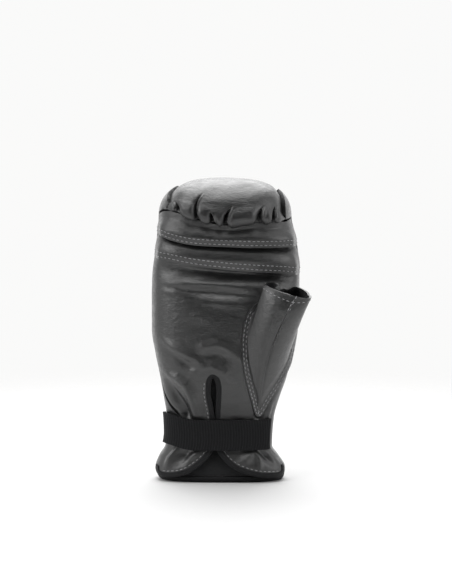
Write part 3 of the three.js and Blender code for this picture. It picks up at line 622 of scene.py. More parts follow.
def shell_faces(faces, count):
    """Both sides of a sheet, and a wall along each of its open edges."""
    edges = np.stack([faces.ravel(), np.roll(faces, -1, axis=1).ravel()], axis=1)
    _, first, times = np.unique(np.sort(edges, axis=1), axis=0, return_index=True, return_counts=True)
    rim = edges[first[times == 1]]
    walls = np.stack([rim[:, 1], rim[:, 0], rim[:, 0] + count, rim[:, 1] + count], axis=1)
    return np.concatenate([faces, faces[:, ::-1] + count, walls])


def normals_of(points, closed=False):
    """Unit normals of a grid of points, to the right-hand side of its columns and rows."""
    if closed:
        padded = np.concatenate([points[:, -1:], points, points[:, :1]], axis=1)
        along_u = (padded[:, 2:] - padded[:, :-2]) / 2
    else:
        along_u = np.gradient(points, axis=1)
    return unit(np.cross(along_u, np.gradient(points, axis=0)))


def new_piece(name, outer, inner, material, faces=None, closed=False, sharp=48, inside=None):
    """A closed piece between two grids of points, as an object with a UV map in metres.
    The material given as inside covers its inner face, up to two rows below its rim."""
    rim_rows = 2
    count = outer.shape[0] * outer.shape[1]
    points = np.concatenate([outer.reshape(-1, 3), inner.reshape(-1, 3)])
    faces = shell_faces(grid_faces(outer.shape, closed) if faces is None else faces, count)
    a, b, c, d = (points[faces[:, k]] for k in range(4))
    if np.einsum("ij,ij->", a, np.cross(b, c) + np.cross(c, d)) < 0:
        faces = faces[:, ::-1]
    steps_u = np.linalg.norm(np.diff(outer, axis=1), axis=-1)
    steps_v = np.linalg.norm(np.diff(outer, axis=0), axis=-1)
    u = np.concatenate([np.zeros((outer.shape[0], 1)), np.cumsum(steps_u, axis=1)], axis=1)
    v = np.concatenate([np.zeros((1, outer.shape[1])), np.cumsum(steps_v, axis=0)], axis=0)
    uv = np.stack([u, v], axis=-1).reshape(-1, 2)
    rim_start = 2 * count - rim_rows * outer.shape[1]
    within = (faces.min(axis=1) >= count) & (faces.max(axis=1) < rim_start)
    used, faces = np.unique(faces, return_inverse=True)
    faces = faces.reshape(-1, 4)
    mesh = bpy.data.meshes.new(name)
    mesh.from_pydata(points[used].tolist(), [], faces.tolist())
    layer = mesh.uv_layers.new(name="surface")
    layer.data.foreach_set("uv", np.concatenate([uv, uv])[used][faces.ravel()].ravel())
    mesh.shade_smooth()
    mesh.set_sharp_from_angle(angle=math.radians(sharp))
    mesh.materials.append(material)
    if inside:
        mesh.materials.append(inside)
        mesh.polygons.foreach_set("material_index", within.astype(np.int32))
    piece = bpy.data.objects.new(name, mesh)
    bpy.context.scene.collection.objects.link(piece)
    return piece


def flat_size(outer):
    """Width and length, and the area, of a grid of points laid flat."""
    width = np.linalg.norm(np.diff(outer, axis=1), axis=-1).sum(axis=1).mean()
    long = np.linalg.norm(np.diff(outer, axis=0), axis=-1).sum(axis=0).mean()
    a, b, c, d = outer[:-1, :-1], outer[:-1, 1:], outer[1:, 1:], outer[1:, :-1]
    area = np.linalg.norm(np.cross(c - a, d - b), axis=-1).sum() / 2
    return (float(width), float(long)), float(min(area, width * long))


def dress(piece, node):
    """The piece rides with the glove and stands for its plain solid."""
    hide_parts(node)
    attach(piece, "root")
    return piece


def node_tree(material):
    """An empty material tree with its surface shader."""
    material.use_nodes = True
    nodes = material.node_tree.nodes
    return nodes, material.node_tree.links, nodes["Principled BSDF"]


def add_node(nodes, kind, **values):
    """A node with its settings and its unlinked inputs set. A low line in a name stands for a space."""
    node = nodes.new(kind)
    for key, value in values.items():
        if hasattr(node, key):
            setattr(node, key, value)
        else:
            node.inputs[key.replace("_", " ")].default_value = value
    return node


def wire(links, *rows):
    """Links from one node's output to another node's input."""
    for source, output, target, socket in rows:
        links.new(source.outputs[output], target.inputs[socket])


def tone_ramp(nodes, base, levels, spread):
    """A ramp between two levels, from a darker to a lighter tone of a colour."""
    tone = add_node(nodes, "ShaderNodeValToRGB")
    for element, level, strength in zip(tone.color_ramp.elements, levels, (1 - spread, 1 + spread)):
        element.position = level
        element.color = (*(channel * strength for channel in base), 1)
    return tone


def stack_bumps(nodes, links, shader, *layers):
    """Bumps one on another: for each its texture, the output, its strength and its depth in metres."""
    below = None
    for texture, output, strength, depth in layers:
        bump = add_node(nodes, "ShaderNodeBump", Strength=strength, Distance=depth)
        links.new(texture.outputs[output], bump.inputs["Height"])
        if below:
            links.new(below.outputs["Normal"], bump.inputs["Normal"])
        below = bump
    links.new(below.outputs["Normal"], shader.inputs["Normal"])


def leather_material(name, base):
    """Fine-grained hide with pores, drawn wrinkles, soft tone changes and a mottled gloss."""
    material = bpy.data.materials.new(name)
    nodes, links, shader = node_tree(material)
    where = add_node(nodes, "ShaderNodeTexCoord")
    drawn = add_node(nodes, "ShaderNodeMapping", Scale=(0.6, 0.6, 1.7))
    grain = add_node(nodes, "ShaderNodeTexVoronoi", feature="DISTANCE_TO_EDGE", Scale=1250.0)
    pores = add_node(nodes, "ShaderNodeTexNoise", Scale=2600.0, Detail=2.0)
    clouds = add_node(nodes, "ShaderNodeTexNoise", Scale=55.0, Detail=4.0, Roughness=0.6)
    wrinkles = add_node(nodes, "ShaderNodeTexNoise", Scale=430.0, Detail=3.0, Distortion=0.9)
    dents = add_node(nodes, "ShaderNodeTexNoise", Scale=120.0, Detail=3.0, Distortion=0.6)
    mottle = add_node(nodes, "ShaderNodeTexNoise", Scale=230.0, Detail=5.0, Roughness=0.7, Distortion=0.4)
    tone = tone_ramp(nodes, base, (0.3, 0.75), 0.14)
    gloss = add_node(nodes, "ShaderNodeMapRange", From_Min=0.3, From_Max=0.7, To_Min=0.31, To_Max=0.50)
    shader.inputs["IOR"].default_value = 1.5
    shader.inputs["Specular IOR Level"].default_value = 0.9
    wire(
        links,
        (where, "Object", drawn, "Vector"),
        (where, "Object", grain, "Vector"),
        (where, "Object", pores, "Vector"),
        (where, "Object", clouds, "Vector"),
        (where, "Object", dents, "Vector"),
        (drawn, "Vector", wrinkles, "Vector"),
        (drawn, "Vector", mottle, "Vector"),
        (clouds, "Fac", tone, "Fac"),
        (tone, "Color", shader, "Base Color"),
        (mottle, "Fac", gloss, "Value"),
        (gloss, "Result", shader, "Roughness"),
    )
    stack_bumps(
        nodes, links, shader,
        (pores, "Fac", 0.1, 0.0001),
        (grain, "Distance", 0.15, 0.0002),
        (wrinkles, "Fac", 0.4, 0.0007),
        (dents, "Fac", 0.28, 0.0012),
    )
    return material


def cloth_material(name, base, ribs, roughness, sheen, specular):
    """Woven tape or cloth: ribs across the piece's own UV map, with fine threads."""
    material = bpy.data.materials.new(name)
    nodes, links, shader = node_tree(material)
    where = add_node(nodes, "ShaderNodeTexCoord")
    lines = add_node(nodes, "ShaderNodeTexWave", Scale=ribs, Distortion=0.4, Detail=1.0)
    threads = add_node(nodes, "ShaderNodeTexNoise", Scale=1800.0, Detail=3.0)
    woven = add_node(nodes, "ShaderNodeMix", data_type="FLOAT", Factor=0.5)
    tone = tone_ramp(nodes, base, (0.2, 0.8), 0.5)
    wire(
        links,
        (where, "UV", lines, "Vector"),
        (where, "UV", threads, "Vector"),
        (threads, "Fac", woven, "A"),
        (lines, "Fac", woven, "B"),
        (woven, "Result", tone, "Fac"),
        (tone, "Color", shader, "Base Color"),
    )
    shader.inputs["Roughness"].default_value = roughness
    shader.inputs["Specular IOR Level"].default_value = specular
    shader.inputs["Sheen Weight"].default_value = sheen
    shader.inputs["Sheen Roughness"].default_value = 0.5
    stack_bumps(nodes, links, shader, (threads, "Fac", 0.5, 0.0002), (lines, "Fac", 0.6, 0.0003))
    return material


# Woven finishes: the colour's name, the scale of the ribs, roughness, sheen and specular level.
CLOTHS = {
    "black_tape": ("binding", 900.0, 0.60, 0.05, 0.22),
    "elastic_web": ("elastic", 140.0, 0.85, 0.03, 0.20),
    "black_cloth": ("lining", 700.0, 0.90, 0.05, 0.15),
    "grey_thread": ("thread", 1500.0, 0.60, 0.00, 0.50),
}


def finish_named(context, name):
    """The material of a finish, made when it is first asked for."""
    known = bpy.data.materials.get(name)
    if known:
        return known
    colours = context.scene.glove_colours
    if name == "grey_hide":
        return leather_material(name, colours.leather)
    colour_name, *values = CLOTHS[name]
    return cloth_material(name, getattr(colours, colour_name), *values)


# Pad

def gather_relief(shape, across, from_seam):
    """Rise of the leather gathered into the pad's front seam, and how full it is between its folds.
    Distances from a fold are shares of its width, counted towards its ridge."""
    sizes = shape.sizes
    steep, gentle, sharpness = 1.6, 0.8, 1.5
    narrow_share, broad_share, broad_width = 0.70, 0.30, 4.2
    ridge_place, ridge_width, ridge_foot = 2.6, 1.6, 0.3
    fade_start, full_width = 0.45, 5.0
    full_sides = (0.70, 0.92)
    height = 0
    full = 1
    for gather in zip(*GATHERS.values()):
        at_seam, at_top, bow, reach, width, depth, ridge = gather
        v = from_seam / (reach * sizes.lip_roll)
        centre = at_seam + (at_top - at_seam) * v + bow * 4 * v * (1 - v)
        away = (across - centre) * shape.half_width / (width * sizes.lip_bulge)
        away = away * math.copysign(1, ridge)
        fade = 1 - smooth_step(fade_start, 1, v)
        crease = np.exp(-np.abs(np.where(away > 0, steep * away, gentle * away)) ** sharpness)
        valley = narrow_share * crease + broad_share * bell(away / broad_width)
        beside = bell((away - ridge_place) / ridge_width) * smooth_step(0, ridge_foot, v)
        height = height + depth * fade * (abs(ridge) * beside - valley)
        full = full * (1 - fade * bell(away / full_width))
    return height * sizes.lip_bulge, full * (1 - smooth_step(*full_sides, np.abs(across)))


def groove_dip(shape, share, from_seam):
    """How far a face dips into the groove beside the pad, where the share is 1."""
    sizes = shape.sizes
    steepness = 8
    return sizes.groove_depth * share ** steepness * smooth_step(0, sizes.lip_roll, from_seam)


def pad_faces(shape, side_share, along):
    """Outer and inner face of the pad."""
    sizes = shape.sizes
    across, path, from_seam = shape.pad_place(side_share, along, -sizes.groove_gap)
    fore, up, z = shape.shell_coordinates(across, path)
    dip = groove_dip(shape, np.abs(side_share), from_seam)
    outer = shape.shell_point(across, fore, up, z, grow=-dip, forward=shape.lip_at(from_seam))
    inset = shape.wall_thickness(across, path, from_seam)
    return outer, shape.shell_point(across, fore, up, z, side_inset=sizes.gusset_wall, inset=inset)


class GLOVE_OT_striking_pad(Operator):
    """Padded panel over the knuckles and the back of the hand"""

    bl_idname = "glove.striking_pad"
    bl_label = "Striking pad"

    def execute(self, context):
        shape = GloveShape(context.scene.glove_sizes)
        sizes = shape.sizes
        u, v = grid(230, 210)
        side_share = 2 * u - 1
        even_rows = 0.25
        along = even_rows * v + (1 - even_rows) * v ** 3
        across, _, from_seam = shape.pad_place(side_share, along, 0)
        outer, inner = pad_faces(shape, side_share, along)
        relief, full = gather_relief(shape, across, from_seam)
        flat_at_seam = 1.5 * MM
        relief *= smooth_step(0, flat_at_seam, from_seam)
        level = from_seam / sizes.lip_roll
        puff_middle, puff_reach = 0.55, 0.5
        relief += full * sizes.pad_puff * bell((level - puff_middle) / puff_reach)
        droop_foot, droop_top = (0, 0.12), (0.2, 1.1)
        droop = smooth_step(*droop_foot, level) * (1 - smooth_step(*droop_top, level))
        outer[..., 2] -= full * sizes.pad_puff * droop
        seed, waves_in_metre = 3, 22
        uneven = waves(seed, *(outer[..., axis] * waves_in_metre for axis in range(3)))
        outer = outer + normals_of(outer) * (relief + uneven * sizes.unevenness)[..., None]
        piece = new_piece("knuckle_pad", outer, inner, finish_named(context, "grey_hide"))
        dress(piece, "striking_pad")
        return {"FINISHED"}


# Side gussets

# Foot of the walls and the lining, as a share of the height, and the place along the pad's groove
# where a gusset's front and back ends meet.
WALL_FOOT = 0.0217
CREST = 0.19


def gusset_ends(shape, side, steps):
    """Matching ends of the gusset's rows: up its front side and up its back, as fore and level."""
    sizes = shape.sizes
    above_foot = 1e-9

    def with_level(fore, up, z):
        return fore, np.where(up > above_foot, up, (z - shape.crown_foot) / sizes.crown_height)

    def groove_end(along):
        across, path, _ = shape.pad_place(np.full_like(along, side), along, sizes.groove_gap)
        return with_level(*shape.shell_coordinates(across, path))

    heights = np.linspace(WALL_FOOT * sizes.height, shape.crown_foot, steps[0], endpoint=False)
    seam = shape.across_at(shape.seam_angle(side, heights, -sizes.seam_gap))
    first = with_level(-shape.remaining(seam), np.zeros_like(heights), heights)
    corner = shape.seam_angle(side, shape.crown_foot, -sizes.seam_gap)
    start = float(shape.grooves["left" if side < 0 else "right"](0.0))
    end = side * math.atan2(start, float(shape.remaining(start)))
    across = shape.across_at(corner + (end - corner) * np.linspace(0, 1, steps[1], endpoint=False))
    level = (shape.seam_height("pad", across) - shape.crown_foot) / sizes.crown_height
    second = (-shape.remaining(across, level), level)
    third = groove_end(np.linspace(0, CREST, steps[2]))
    front = [np.concatenate(parts) for parts in zip(first, second, third)]
    start_path = float(shape.path_at_seam(side * start))
    climb_rows = steps[1] + steps[2]
    z = np.concatenate([heights, np.full(climb_rows, shape.crown_foot)])
    along = (shape.path_end + shape.pad_foot - z - start_path) / (shape.path_end - start_path)
    climb = np.concatenate([np.zeros(steps[0]), np.linspace(0, 1, climb_rows)])
    back = groove_end(np.minimum(1, along + (CREST - along) * climb))
    return front, back


def gusset_faces(shape, side, columns, steps):
    """Outer and inner face of a side gusset. The inner one laps in under the palm, most at the bands."""
    sizes = shape.sizes
    more_at_bands, bands_start, lap_end = 0.9, (0.60, 0.68), 0.15
    front, back = gusset_ends(shape, side, steps)
    u = np.linspace(0, 1, columns + 1)[None, :]
    fore, level = (f[:, None] + (b - f)[:, None] * u for f, b in zip(front, back))
    up = np.maximum(0, level)
    z = shape.crown_foot + np.minimum(0, level) * sizes.crown_height
    across = side * shape.remaining(fore, up)
    path = shape.path_of(fore, up, z)
    from_seam = np.maximum(0, path - np.maximum(0, shape.path_at_seam(across)))
    forward = np.where(fore < 0, shape.lip_at(from_seam), 0)
    outer = shape.shell_point(across, fore, up, z, grow=-groove_dip(shape, u, from_seam), forward=forward)
    thin = (fore < 0) & (level < 0)
    inset = np.where(thin, sizes.gusset_wall, shape.wall_thickness(across, path, from_seam))
    lap = sizes.seam_lap * (1 + more_at_bands * smooth_step(*bands_start, z / sizes.height))
    lap = lap * (1 - smooth_step(0, lap_end, u))
    lapped = fore - lap / shape.half_depth * (fore < 0)
    across = side * shape.remaining(lapped, up)
    inner = shape.shell_point(across, lapped, up, z, side_inset=sizes.gusset_wall, inset=inset)
    return outer, inner


class GLOVE_OT_side_gussets(Operator):
    """Padded walls between the palm and the knuckle pad, on both sides"""

    bl_idname = "glove.side_gussets"
    bl_label = "Side gussets"

    def execute(self, context):
        shape = GloveShape(context.scene.glove_sizes)
        columns, rows = 60, (150, 14, 50)
        for name, side in (("left", -1), ("right", 1)):
            outer, inner = gusset_faces(shape, side, columns, rows)
            piece = new_piece(f"side_wall_{name}", outer, inner, finish_named(context, "grey_hide"))
            dress(piece, f"side_gusset_{name}")
        return {"FINISHED"}


# Palm-side bands

# The seams along each band's edges, and whether its top is tucked under the band above.
BANDS = {
    "finger_band": {"low": "finger", "high": "pad", "tucked": False},
    "grip_band": {"low": "grip", "high": "finger", "tucked": True},
}

# Height at which the ends of the bands are measured, as a share of the glove's height.
BANDS_HEIGHT = 0.8


def band_foot(shape, band, step):
    """Place across and height of a band's lower edge."""
    sizes = shape.sizes
    across = shape.across_step(step, sizes.height * BANDS_HEIGHT, 3 * sizes.seam_gap)
    edge = sizes.edge_margin + sizes.row_space / 2
    return across, shape.seam_height(band["low"], across) - edge


def band_surface(shape, band, step, v):
    """Outer face of a band, from its lower edge to its upper one. It lies flatter at its ends."""
    sizes = shape.sizes
    wider_gap, flat_end, end_share = (0.8, 0.9), (0.87, 0.98), 0.2
    edge_swell, belly_top, tucked_part = (0.25, 0.8), 0.75, (0.55, 0.85)
    across, low = band_foot(shape, band, step)
    from_middle = np.abs(across)
    clearance = sizes.seam_gap * (1.5 + 3 * smooth_step(*wider_gap, from_middle))
    high = shape.seam_height(band["high"], across) + (sizes.under_lap if band["tucked"] else -clearance)
    z = low + (high - low) * v
    fade = 1 - (1 - end_share) * smooth_step(*flat_end, from_middle)
    proud = sizes.band_rise * fade * (1 - smooth_step(*edge_swell, v))
    belly = sizes.band_belly * np.sin(math.pi * np.minimum(1, v / belly_top)) * shape.remaining(across)
    if band["tucked"]:
        belly = belly - sizes.tuck * smooth_step(*tucked_part, v) * fade
    return shape.front_point(across, z, proud + belly)


class GLOVE_OT_palm_bands(Operator):
    """Two lapped leather bands under the fingers"""

    bl_idname = "glove.palm_bands"
    bl_label = "Palm bands"

    def execute(self, context):
        shape = GloveShape(context.scene.glove_sizes)
        for node, band in BANDS.items():
            u, v = grid(260, 60)
            outer = band_surface(shape, band, u, v)
            inner = outer - normals_of(outer) * shape.sizes.leather
            piece = new_piece(f"{node}_leather", outer, inner, finish_named(context, "grey_hide"))
            dress(piece, node)
        return {"FINISHED"}


# Palm

def smooth_line(x, z, count):
    """Evenly spaced points along a smooth line through a few given ones."""
    along = np.concatenate([[0], np.cumsum(np.sqrt(np.hypot(np.diff(x), np.diff(z))))])
    fine = np.linspace(0, along[-1], 40 * len(x))
    x, z = (through_points(along, values, np.gradient(values, along), fine) for values in (x, z))
    lengths = np.concatenate([[0], np.cumsum(np.hypot(np.diff(x), np.diff(z)))])
    even = np.linspace(0, lengths[-1], count)
    return np.interp(even, lengths, x), np.interp(even, lengths, z)


def palm_edge_line(shape, count, shift=0.0):
    """The palm's bound edge, as places x and z, moved aside by a shift."""
    z = PALM_EDGE["height"] * shape.sizes.height
    x, z = smooth_line(PALM_EDGE["across"] * shape.side_at(PALM_EDGE["across"], z), z, count)
    slope_x, slope_z = np.gradient(x), np.gradient(z)
    long = np.hypot(slope_x, slope_z)
    return x - slope_z / long * shift, z + slope_x / long * shift


def inside(x, z, line_x, line_z):
    """Which places lie inside a closed outline."""
    hit = np.zeros(x.shape, bool)
    next_x, next_z = np.roll(line_x, -1), np.roll(line_z, -1)
    for ax, az, bx, bz in zip(line_x, line_z, next_x, next_z):
        if az != bz:
            hit ^= ((az > z) != (bz > z)) & (x < ax + (bx - ax) * (z - az) / (bz - az))
    return hit


def on_front(shape, x, z, grow=0.0):
    """A point of the palm side from its place across and its height."""
    widest = 0.995
    across = np.clip(x / shape.side_at(x, z), -widest, widest)
    return shape.front_point(across, z, grow)


def palm_point(shape, across, z, grow=0.0):
    """Outer face of the palm leather."""
    return shape.front_point(across, z, shape.palm_relief(across, z) + grow)


def thumb_foot(shape, turn, expand):
    """The thumb's stitched foot line, as places x and z, moved out by expand."""
    sizes = shape.sizes
    height, across = loop_curve(THUMB_FOOT, "turn", "height"), loop_curve(THUMB_FOOT, "turn", "across")

    def line(turns):
        z = height(turns) * sizes.height
        return across(turns) * shape.side_at(1, z), z

    x, z = line(turn)
    step = 0.004
    after, before = line(turn + step), line(turn - step)
    slope_x, slope_z = after[0] - before[0], after[1] - before[1]
    long = np.hypot(slope_x, slope_z)
    x, z = x - slope_z / long * expand, z + slope_x / long * expand
    room = 2 * sizes.seam_gap + sizes.thumb_lap + THUMB_FLANGE["outside"] * MM - expand
    limit = shape.across_at(shape.seam_angle(1, z, room)) * shape.side_at(1, z)
    return np.minimum(limit, x), z


class GLOVE_OT_palm(Operator):
    """Palm leather with its slit, its cuff flaps and the hole under the thumb"""

    bl_idname = "glove.palm"
    bl_label = "Palm"

    def execute(self, context):
        shape = GloveShape(context.scene.glove_sizes)
        sizes = shape.sizes
        u, v = grid(170, 230)
        low = 0.4 * sizes.hem_height
        rough_top = 0.72 * sizes.height
        across = shape.across_step(u, low + (rough_top - low) * v, sizes.seam_gap)
        top = shape.seam_height("grip", across) + sizes.under_lap
        z = low + (top - low) * v
        outer = palm_point(shape, across, z)
        faces = grid_faces(outer.shape)
        centre_x = (across * shape.side_at(across, z)).ravel()[faces].mean(axis=1)
        centre_z = z.ravel()[faces].mean(axis=1)
        edge_x, edge_z = palm_edge_line(shape, 300)
        beyond = sizes.width
        cut_x = np.concatenate([[-beyond, -beyond, edge_x[0]], edge_x, [edge_x[-1], beyond, beyond]])
        rise = sizes.leather
        first_z, last_z = edge_z[0] + rise, edge_z[-1] + rise
        cut_z = np.concatenate([[-beyond, first_z, first_z], edge_z, [last_z, last_z, -beyond]])
        lap = sizes.thumb_lap + THUMB_FLANGE["inside"] * MM
        foot_x, foot_z = thumb_foot(shape, np.linspace(0, 1, 120, endpoint=False), -lap)
        gone = inside(centre_x, centre_z, cut_x, cut_z) | inside(centre_x, centre_z, foot_x, foot_z)
        inner = outer - normals_of(outer) * sizes.leather
        leather = finish_named(context, "grey_hide")
        piece = new_piece("palm_leather", outer, inner, leather, faces=faces[~gone])
        dress(piece, "palm_panel")
        flat, area = flat_size(outer)
        area *= float(1 - gone.mean())
        return {"FINISHED"}


# Thumb

# Flange: its share of the way up the thumb, and its widths in millimetres on both sides of the foot line.
THUMB_FLANGE = {"level": 0.08, "outside": 1.2, "inside": 3.4}

# Rim: its middle as shares of half the width, half the depth and the height, its slopes in degrees,
# and the dent in its far side, as a place and a half width in shares of the turn.
RIM = {
    "across": 0.8,
    "forward": 1.05,
    "height": 0.645,
    "side_slope": 12,
    "front_slope": 24,
    "dent_place": 0.485,
    "dent_width": 0.055,
    "overhang": 0.2,
}

# Lobes on both sides of the front fold: place and half width in shares of the turn, and how full.
INNER_LOBE = (0.02, 0.17, 1.0)
OUTER_LOBE = (-0.06, 0.15, 0.70)


def from_fold(turn):
    """Share of a turn round the thumb from its front fold, from -0.5 to 0.5."""
    return np.mod(turn + 0.5, 1) - 0.5


def rim_point(shape, turn):
    """The thumb's open rim, as places about the body's axis."""
    sizes = shape.sizes
    near, inward = np.cos(2 * math.pi * turn), np.sin(2 * math.pi * turn)
    dent = sizes.rim_dent * bell((np.mod(turn, 1) - RIM["dent_place"]) / RIM["dent_width"])
    x = -inward * sizes.rim_width / 2
    y = -near * sizes.rim_depth / 2 - dent
    slope_x = math.tan(math.radians(RIM["side_slope"]))
    slope_y = math.tan(math.radians(RIM["front_slope"]))
    return shape.place(
        RIM["across"] * shape.half_width + x + np.maximum(0, near) * sizes.rim_width * RIM["overhang"],
        -RIM["forward"] * shape.half_depth + y,
        RIM["height"] * sizes.height - x * slope_x + y * slope_y,
    )


def thumb_surface(shape, turn, level, full=1.0):
    """Outer face of the thumb: a stitched flange on the palm, then a tube up to its rim.
    At full 0 it has no lobes, and is hollow where they meet, as the tube's inner wall is."""
    sizes = shape.sizes
    fold_sides, fold_wide, fold_pull = (-0.008, 0.010), 0.14, 0.95
    even_part, lobe_foot, lobe_top, swell_part = 0.25, (0, 0.10), (0.86, 1.0), 0.60
    hollow_wide, puff_share, puff_level, puff_wide = 0.10, 0.06, 0.12, 0.12
    turn, level = np.broadcast_arrays(turn, level)
    flange = THUMB_FLANGE
    lying = np.clip(level / flange["level"], 0, 1)
    rising = np.clip((level - flange["level"]) / (1 - flange["level"]), 0, 1)
    expand = flange["outside"] - (flange["outside"] + flange["inside"]) * lying
    x, z = thumb_foot(shape, turn, expand * MM)
    relief = np.maximum(0, shape.palm_relief(x / shape.side_at(1, z), z))
    base = on_front(shape, x, z, sizes.thumb_wall + sizes.thumb_seat + relief)
    points = base + (rim_point(shape, turn) - base) * rising[..., None]
    swell = 4 * rising * (1 - rising)
    signed = from_fold(turn)
    past_fold = smooth_step(*fold_sides, signed)
    lobes = 0
    for side, (middle, wide, high) in ((past_fold, INNER_LOBE), (1 - past_fold, OUTER_LOBE)):
        lobes = lobes + high * side * bell((signed - middle) / wide)
    even = even_part * smooth_step(*lobe_foot, rising) * (1 - smooth_step(*lobe_top, rising))
    points[..., 0] -= sizes.crease_depth * fold_pull * swell * bell(signed / fold_wide)
    points[..., 1] -= sizes.crease_depth * (even + swell_part * swell) * lobes * full
    hollow = swell_part * swell * bell(signed / hollow_wide) * (1 - full)
    points[..., 1] += sizes.crease_depth * hollow
    puff = puff_share * np.sqrt(np.clip(rising / puff_level, 0, 1)) * (1 - rising)
    outwards = x - RIM["across"] * shape.half_width
    points[..., 0] += outwards * puff * (1 - bell(signed / puff_wide))
    return points


def into_tube(shape, outer, turn, level):
    """Unit directions inwards from the thumb's face: onto the palm at its flange, and to the tube's
    middle above. Beside the front fold the change comes later."""
    change, latest, beside_fold = (0.08, 0.30), 0.25, 0.12
    x, z = thumb_foot(shape, turn, 0.0)
    onto_palm = on_front(shape, x, z) - on_front(shape, x, z, 10 * MM)
    to_middle = outer.mean(axis=1, keepdims=True) - outer
    to_middle[..., 2] = 0
    later = latest * bell(from_fold(turn) / beside_fold)
    share_up = smooth_step(*change, level - later)[..., None]
    return unit(unit(onto_palm) * (1 - share_up) + unit(to_middle) * share_up)


class GLOVE_OT_thumb(Operator):
    """Leather tube for the thumb, with a fold down its front and an open rim"""

    bl_idname = "glove.thumb"
    bl_label = "Thumb"

    def execute(self, context):
        shape = GloveShape(context.scene.glove_sizes)
        u, v = grid(260, 130, closed=True)
        closer_at_fold, closer_at_foot = 0.8, 1.3
        turn = u - closer_at_fold * np.sin(2 * math.pi * u) / (2 * math.pi)
        level = v ** closer_at_foot
        outer = thumb_surface(shape, turn, level)
        plain = thumb_surface(shape, turn, level, full=0.0)
        inner = plain + into_tube(shape, plain, turn, v) * shape.sizes.thumb_wall
        leather, cloth = finish_named(context, "grey_hide"), finish_named(context, "black_cloth")
        piece = new_piece("thumb_leather", outer, inner, leather, closed=True, inside=cloth)
        dress(piece, "thumb_sleeve")
        return {"FINISHED"}


# Elastic strap

def strap_point(shape, step, v, grow):
    """Place on the elastic, pulled straight over the palm side and sewn down at both ends."""
    sizes = shape.sizes
    left, right = math.radians(-82), math.radians(57)
    sewn_end, pressed = 0.03, 0.9
    across = shape.across_at(left + (right - left) * step)
    free = smooth_step(0, sewn_end, step) * (1 - smooth_step(1 - sewn_end, 1, step))
    grow = grow - pressed * sizes.strap_clearance * (1 - free)
    return shape.front_point(across, shape.strap_place(across) + sizes.strap_width * (v - 0.5), grow)


class GLOVE_OT_elastic(Operator):
    """Elastic strap over the wrist"""

    bl_idname = "glove.elastic"
    bl_label = "Elastic"

    def execute(self, context):
        shape = GloveShape(context.scene.glove_sizes)
        sizes = shape.sizes
        u, v = grid(240, 60)
        outer = strap_point(shape, u, v, sizes.strap_clearance + sizes.strap_thickness)
        inner = strap_point(shape, u, v, sizes.strap_clearance)
        piece = new_piece("wrist_elastic", outer, inner, finish_named(context, "elastic_web"))
        dress(piece, "wrist_strap")
        return {"FINISHED"}


# Bindings, hem and lining

class GLOVE_OT_bindings(Operator):
    """Folded tape round the palm's slit and cuff flaps, and the hem ring on the floor"""

    bl_idname = "glove.bindings"
    bl_label = "Bindings"

    def execute(self, context):
        shape = GloveShape(context.scene.glove_sizes)
        self.palm_tape(context, shape)
        self.hem(context, shape)
        return {"FINISHED"}

    def palm_tape(self, context, shape):
        """Tape swept along the palm's edge, as the two sides of a flattened tube."""
        sizes = shape.sizes
        x, z = palm_edge_line(shape, 420)
        centre = on_front(shape, x, z, -sizes.leather / 2)
        out = on_front(shape, x, z, 1 * MM) - centre
        tangent = np.gradient(centre, axis=0)
        sideways = unit(np.cross(tangent, out))
        raised = unit(np.cross(sideways, tangent))
        angle = np.linspace(0, math.pi, 13)
        flatness = 0.62
        wide = np.sign(np.cos(angle)) * np.abs(np.cos(angle)) ** flatness * sizes.binding_width / 2
        high = np.sin(angle) ** flatness * sizes.binding_thickness / 2
        middle = centre[:, None] + sideways[:, None] * wide[:, None]
        upwards = raised[:, None] * high[:, None]
        tape = finish_named(context, "black_tape")
        piece = new_piece("slit_tape", middle + upwards, middle - upwards, tape, sharp=60)
        dress(piece, "palm_binding")

    def hem(self, context, shape):
        """Ring of folded tape under the cuff."""
        sizes = shape.sizes
        u, v = grid(260, 16, closed=True)
        edge_share, foot_share = 0.2, 0.35
        bevel = sizes.hem_height * (edge_share * np.abs(2 * v - 1) ** 6 + foot_share * (1 - v) ** 3)
        wall = sizes.seam_thickness + sizes.pad_thickness * float(shape.pad_share(1.0)) + sizes.lining
        wall += sizes.seam_gap
        faces = []
        for front, behind in (
            (sizes.lining_inset - 3 * sizes.seam_gap + bevel, bevel),
            (sizes.lining_inset + sizes.lining + sizes.seam_gap - bevel, wall - bevel),
        ):
            faces.append(cuff_place(shape, u, sizes.hem_height * v, front, behind, behind))
        piece = new_piece("hem_tape", *faces, finish_named(context, "black_tape"), closed=True)
        dress(piece, "hem_binding")


def cuff_place(shape, turn, z, front, behind, side_inset):
    """A place on the cuff's outline, part way through its wall. The palm side is leather only."""
    angle = 2 * math.pi * turn
    across = shape.across_at(angle)
    fore = -np.sign(np.cos(angle)) * shape.remaining(across)
    inset = np.where(fore < 0, front, behind)
    return shape.shell_point(across, fore, 0.0, z, side_inset=side_inset, inset=inset)


class GLOVE_OT_lining(Operator):
    """Black lining of the cuff, seen through the slit and between the flaps"""

    bl_idname = "glove.lining"
    bl_label = "Lining"

    def execute(self, context):
        shape = GloveShape(context.scene.glove_sizes)
        sizes = shape.sizes
        u, v = grid(160, 90, closed=True)
        foot = WALL_FOOT * sizes.height
        z = foot + (sizes.lining_top - foot) * v
        across = shape.across_at(2 * math.pi * u)
        path = shape.path_end + shape.pad_foot - z
        behind = shape.wall_thickness(across, path, path) + sizes.lining_gap
        beside = sizes.gusset_wall + sizes.lining_gap
        faces = [
            cuff_place(shape, u, z, sizes.lining_inset + extra, behind + extra, beside + extra)
            for extra in (0.0, sizes.lining)
        ]
        piece = new_piece("cuff_cloth", *faces, finish_named(context, "black_cloth"), closed=True)
        dress(piece, "cuff_lining")
        return {"FINISHED"}


# Stitches

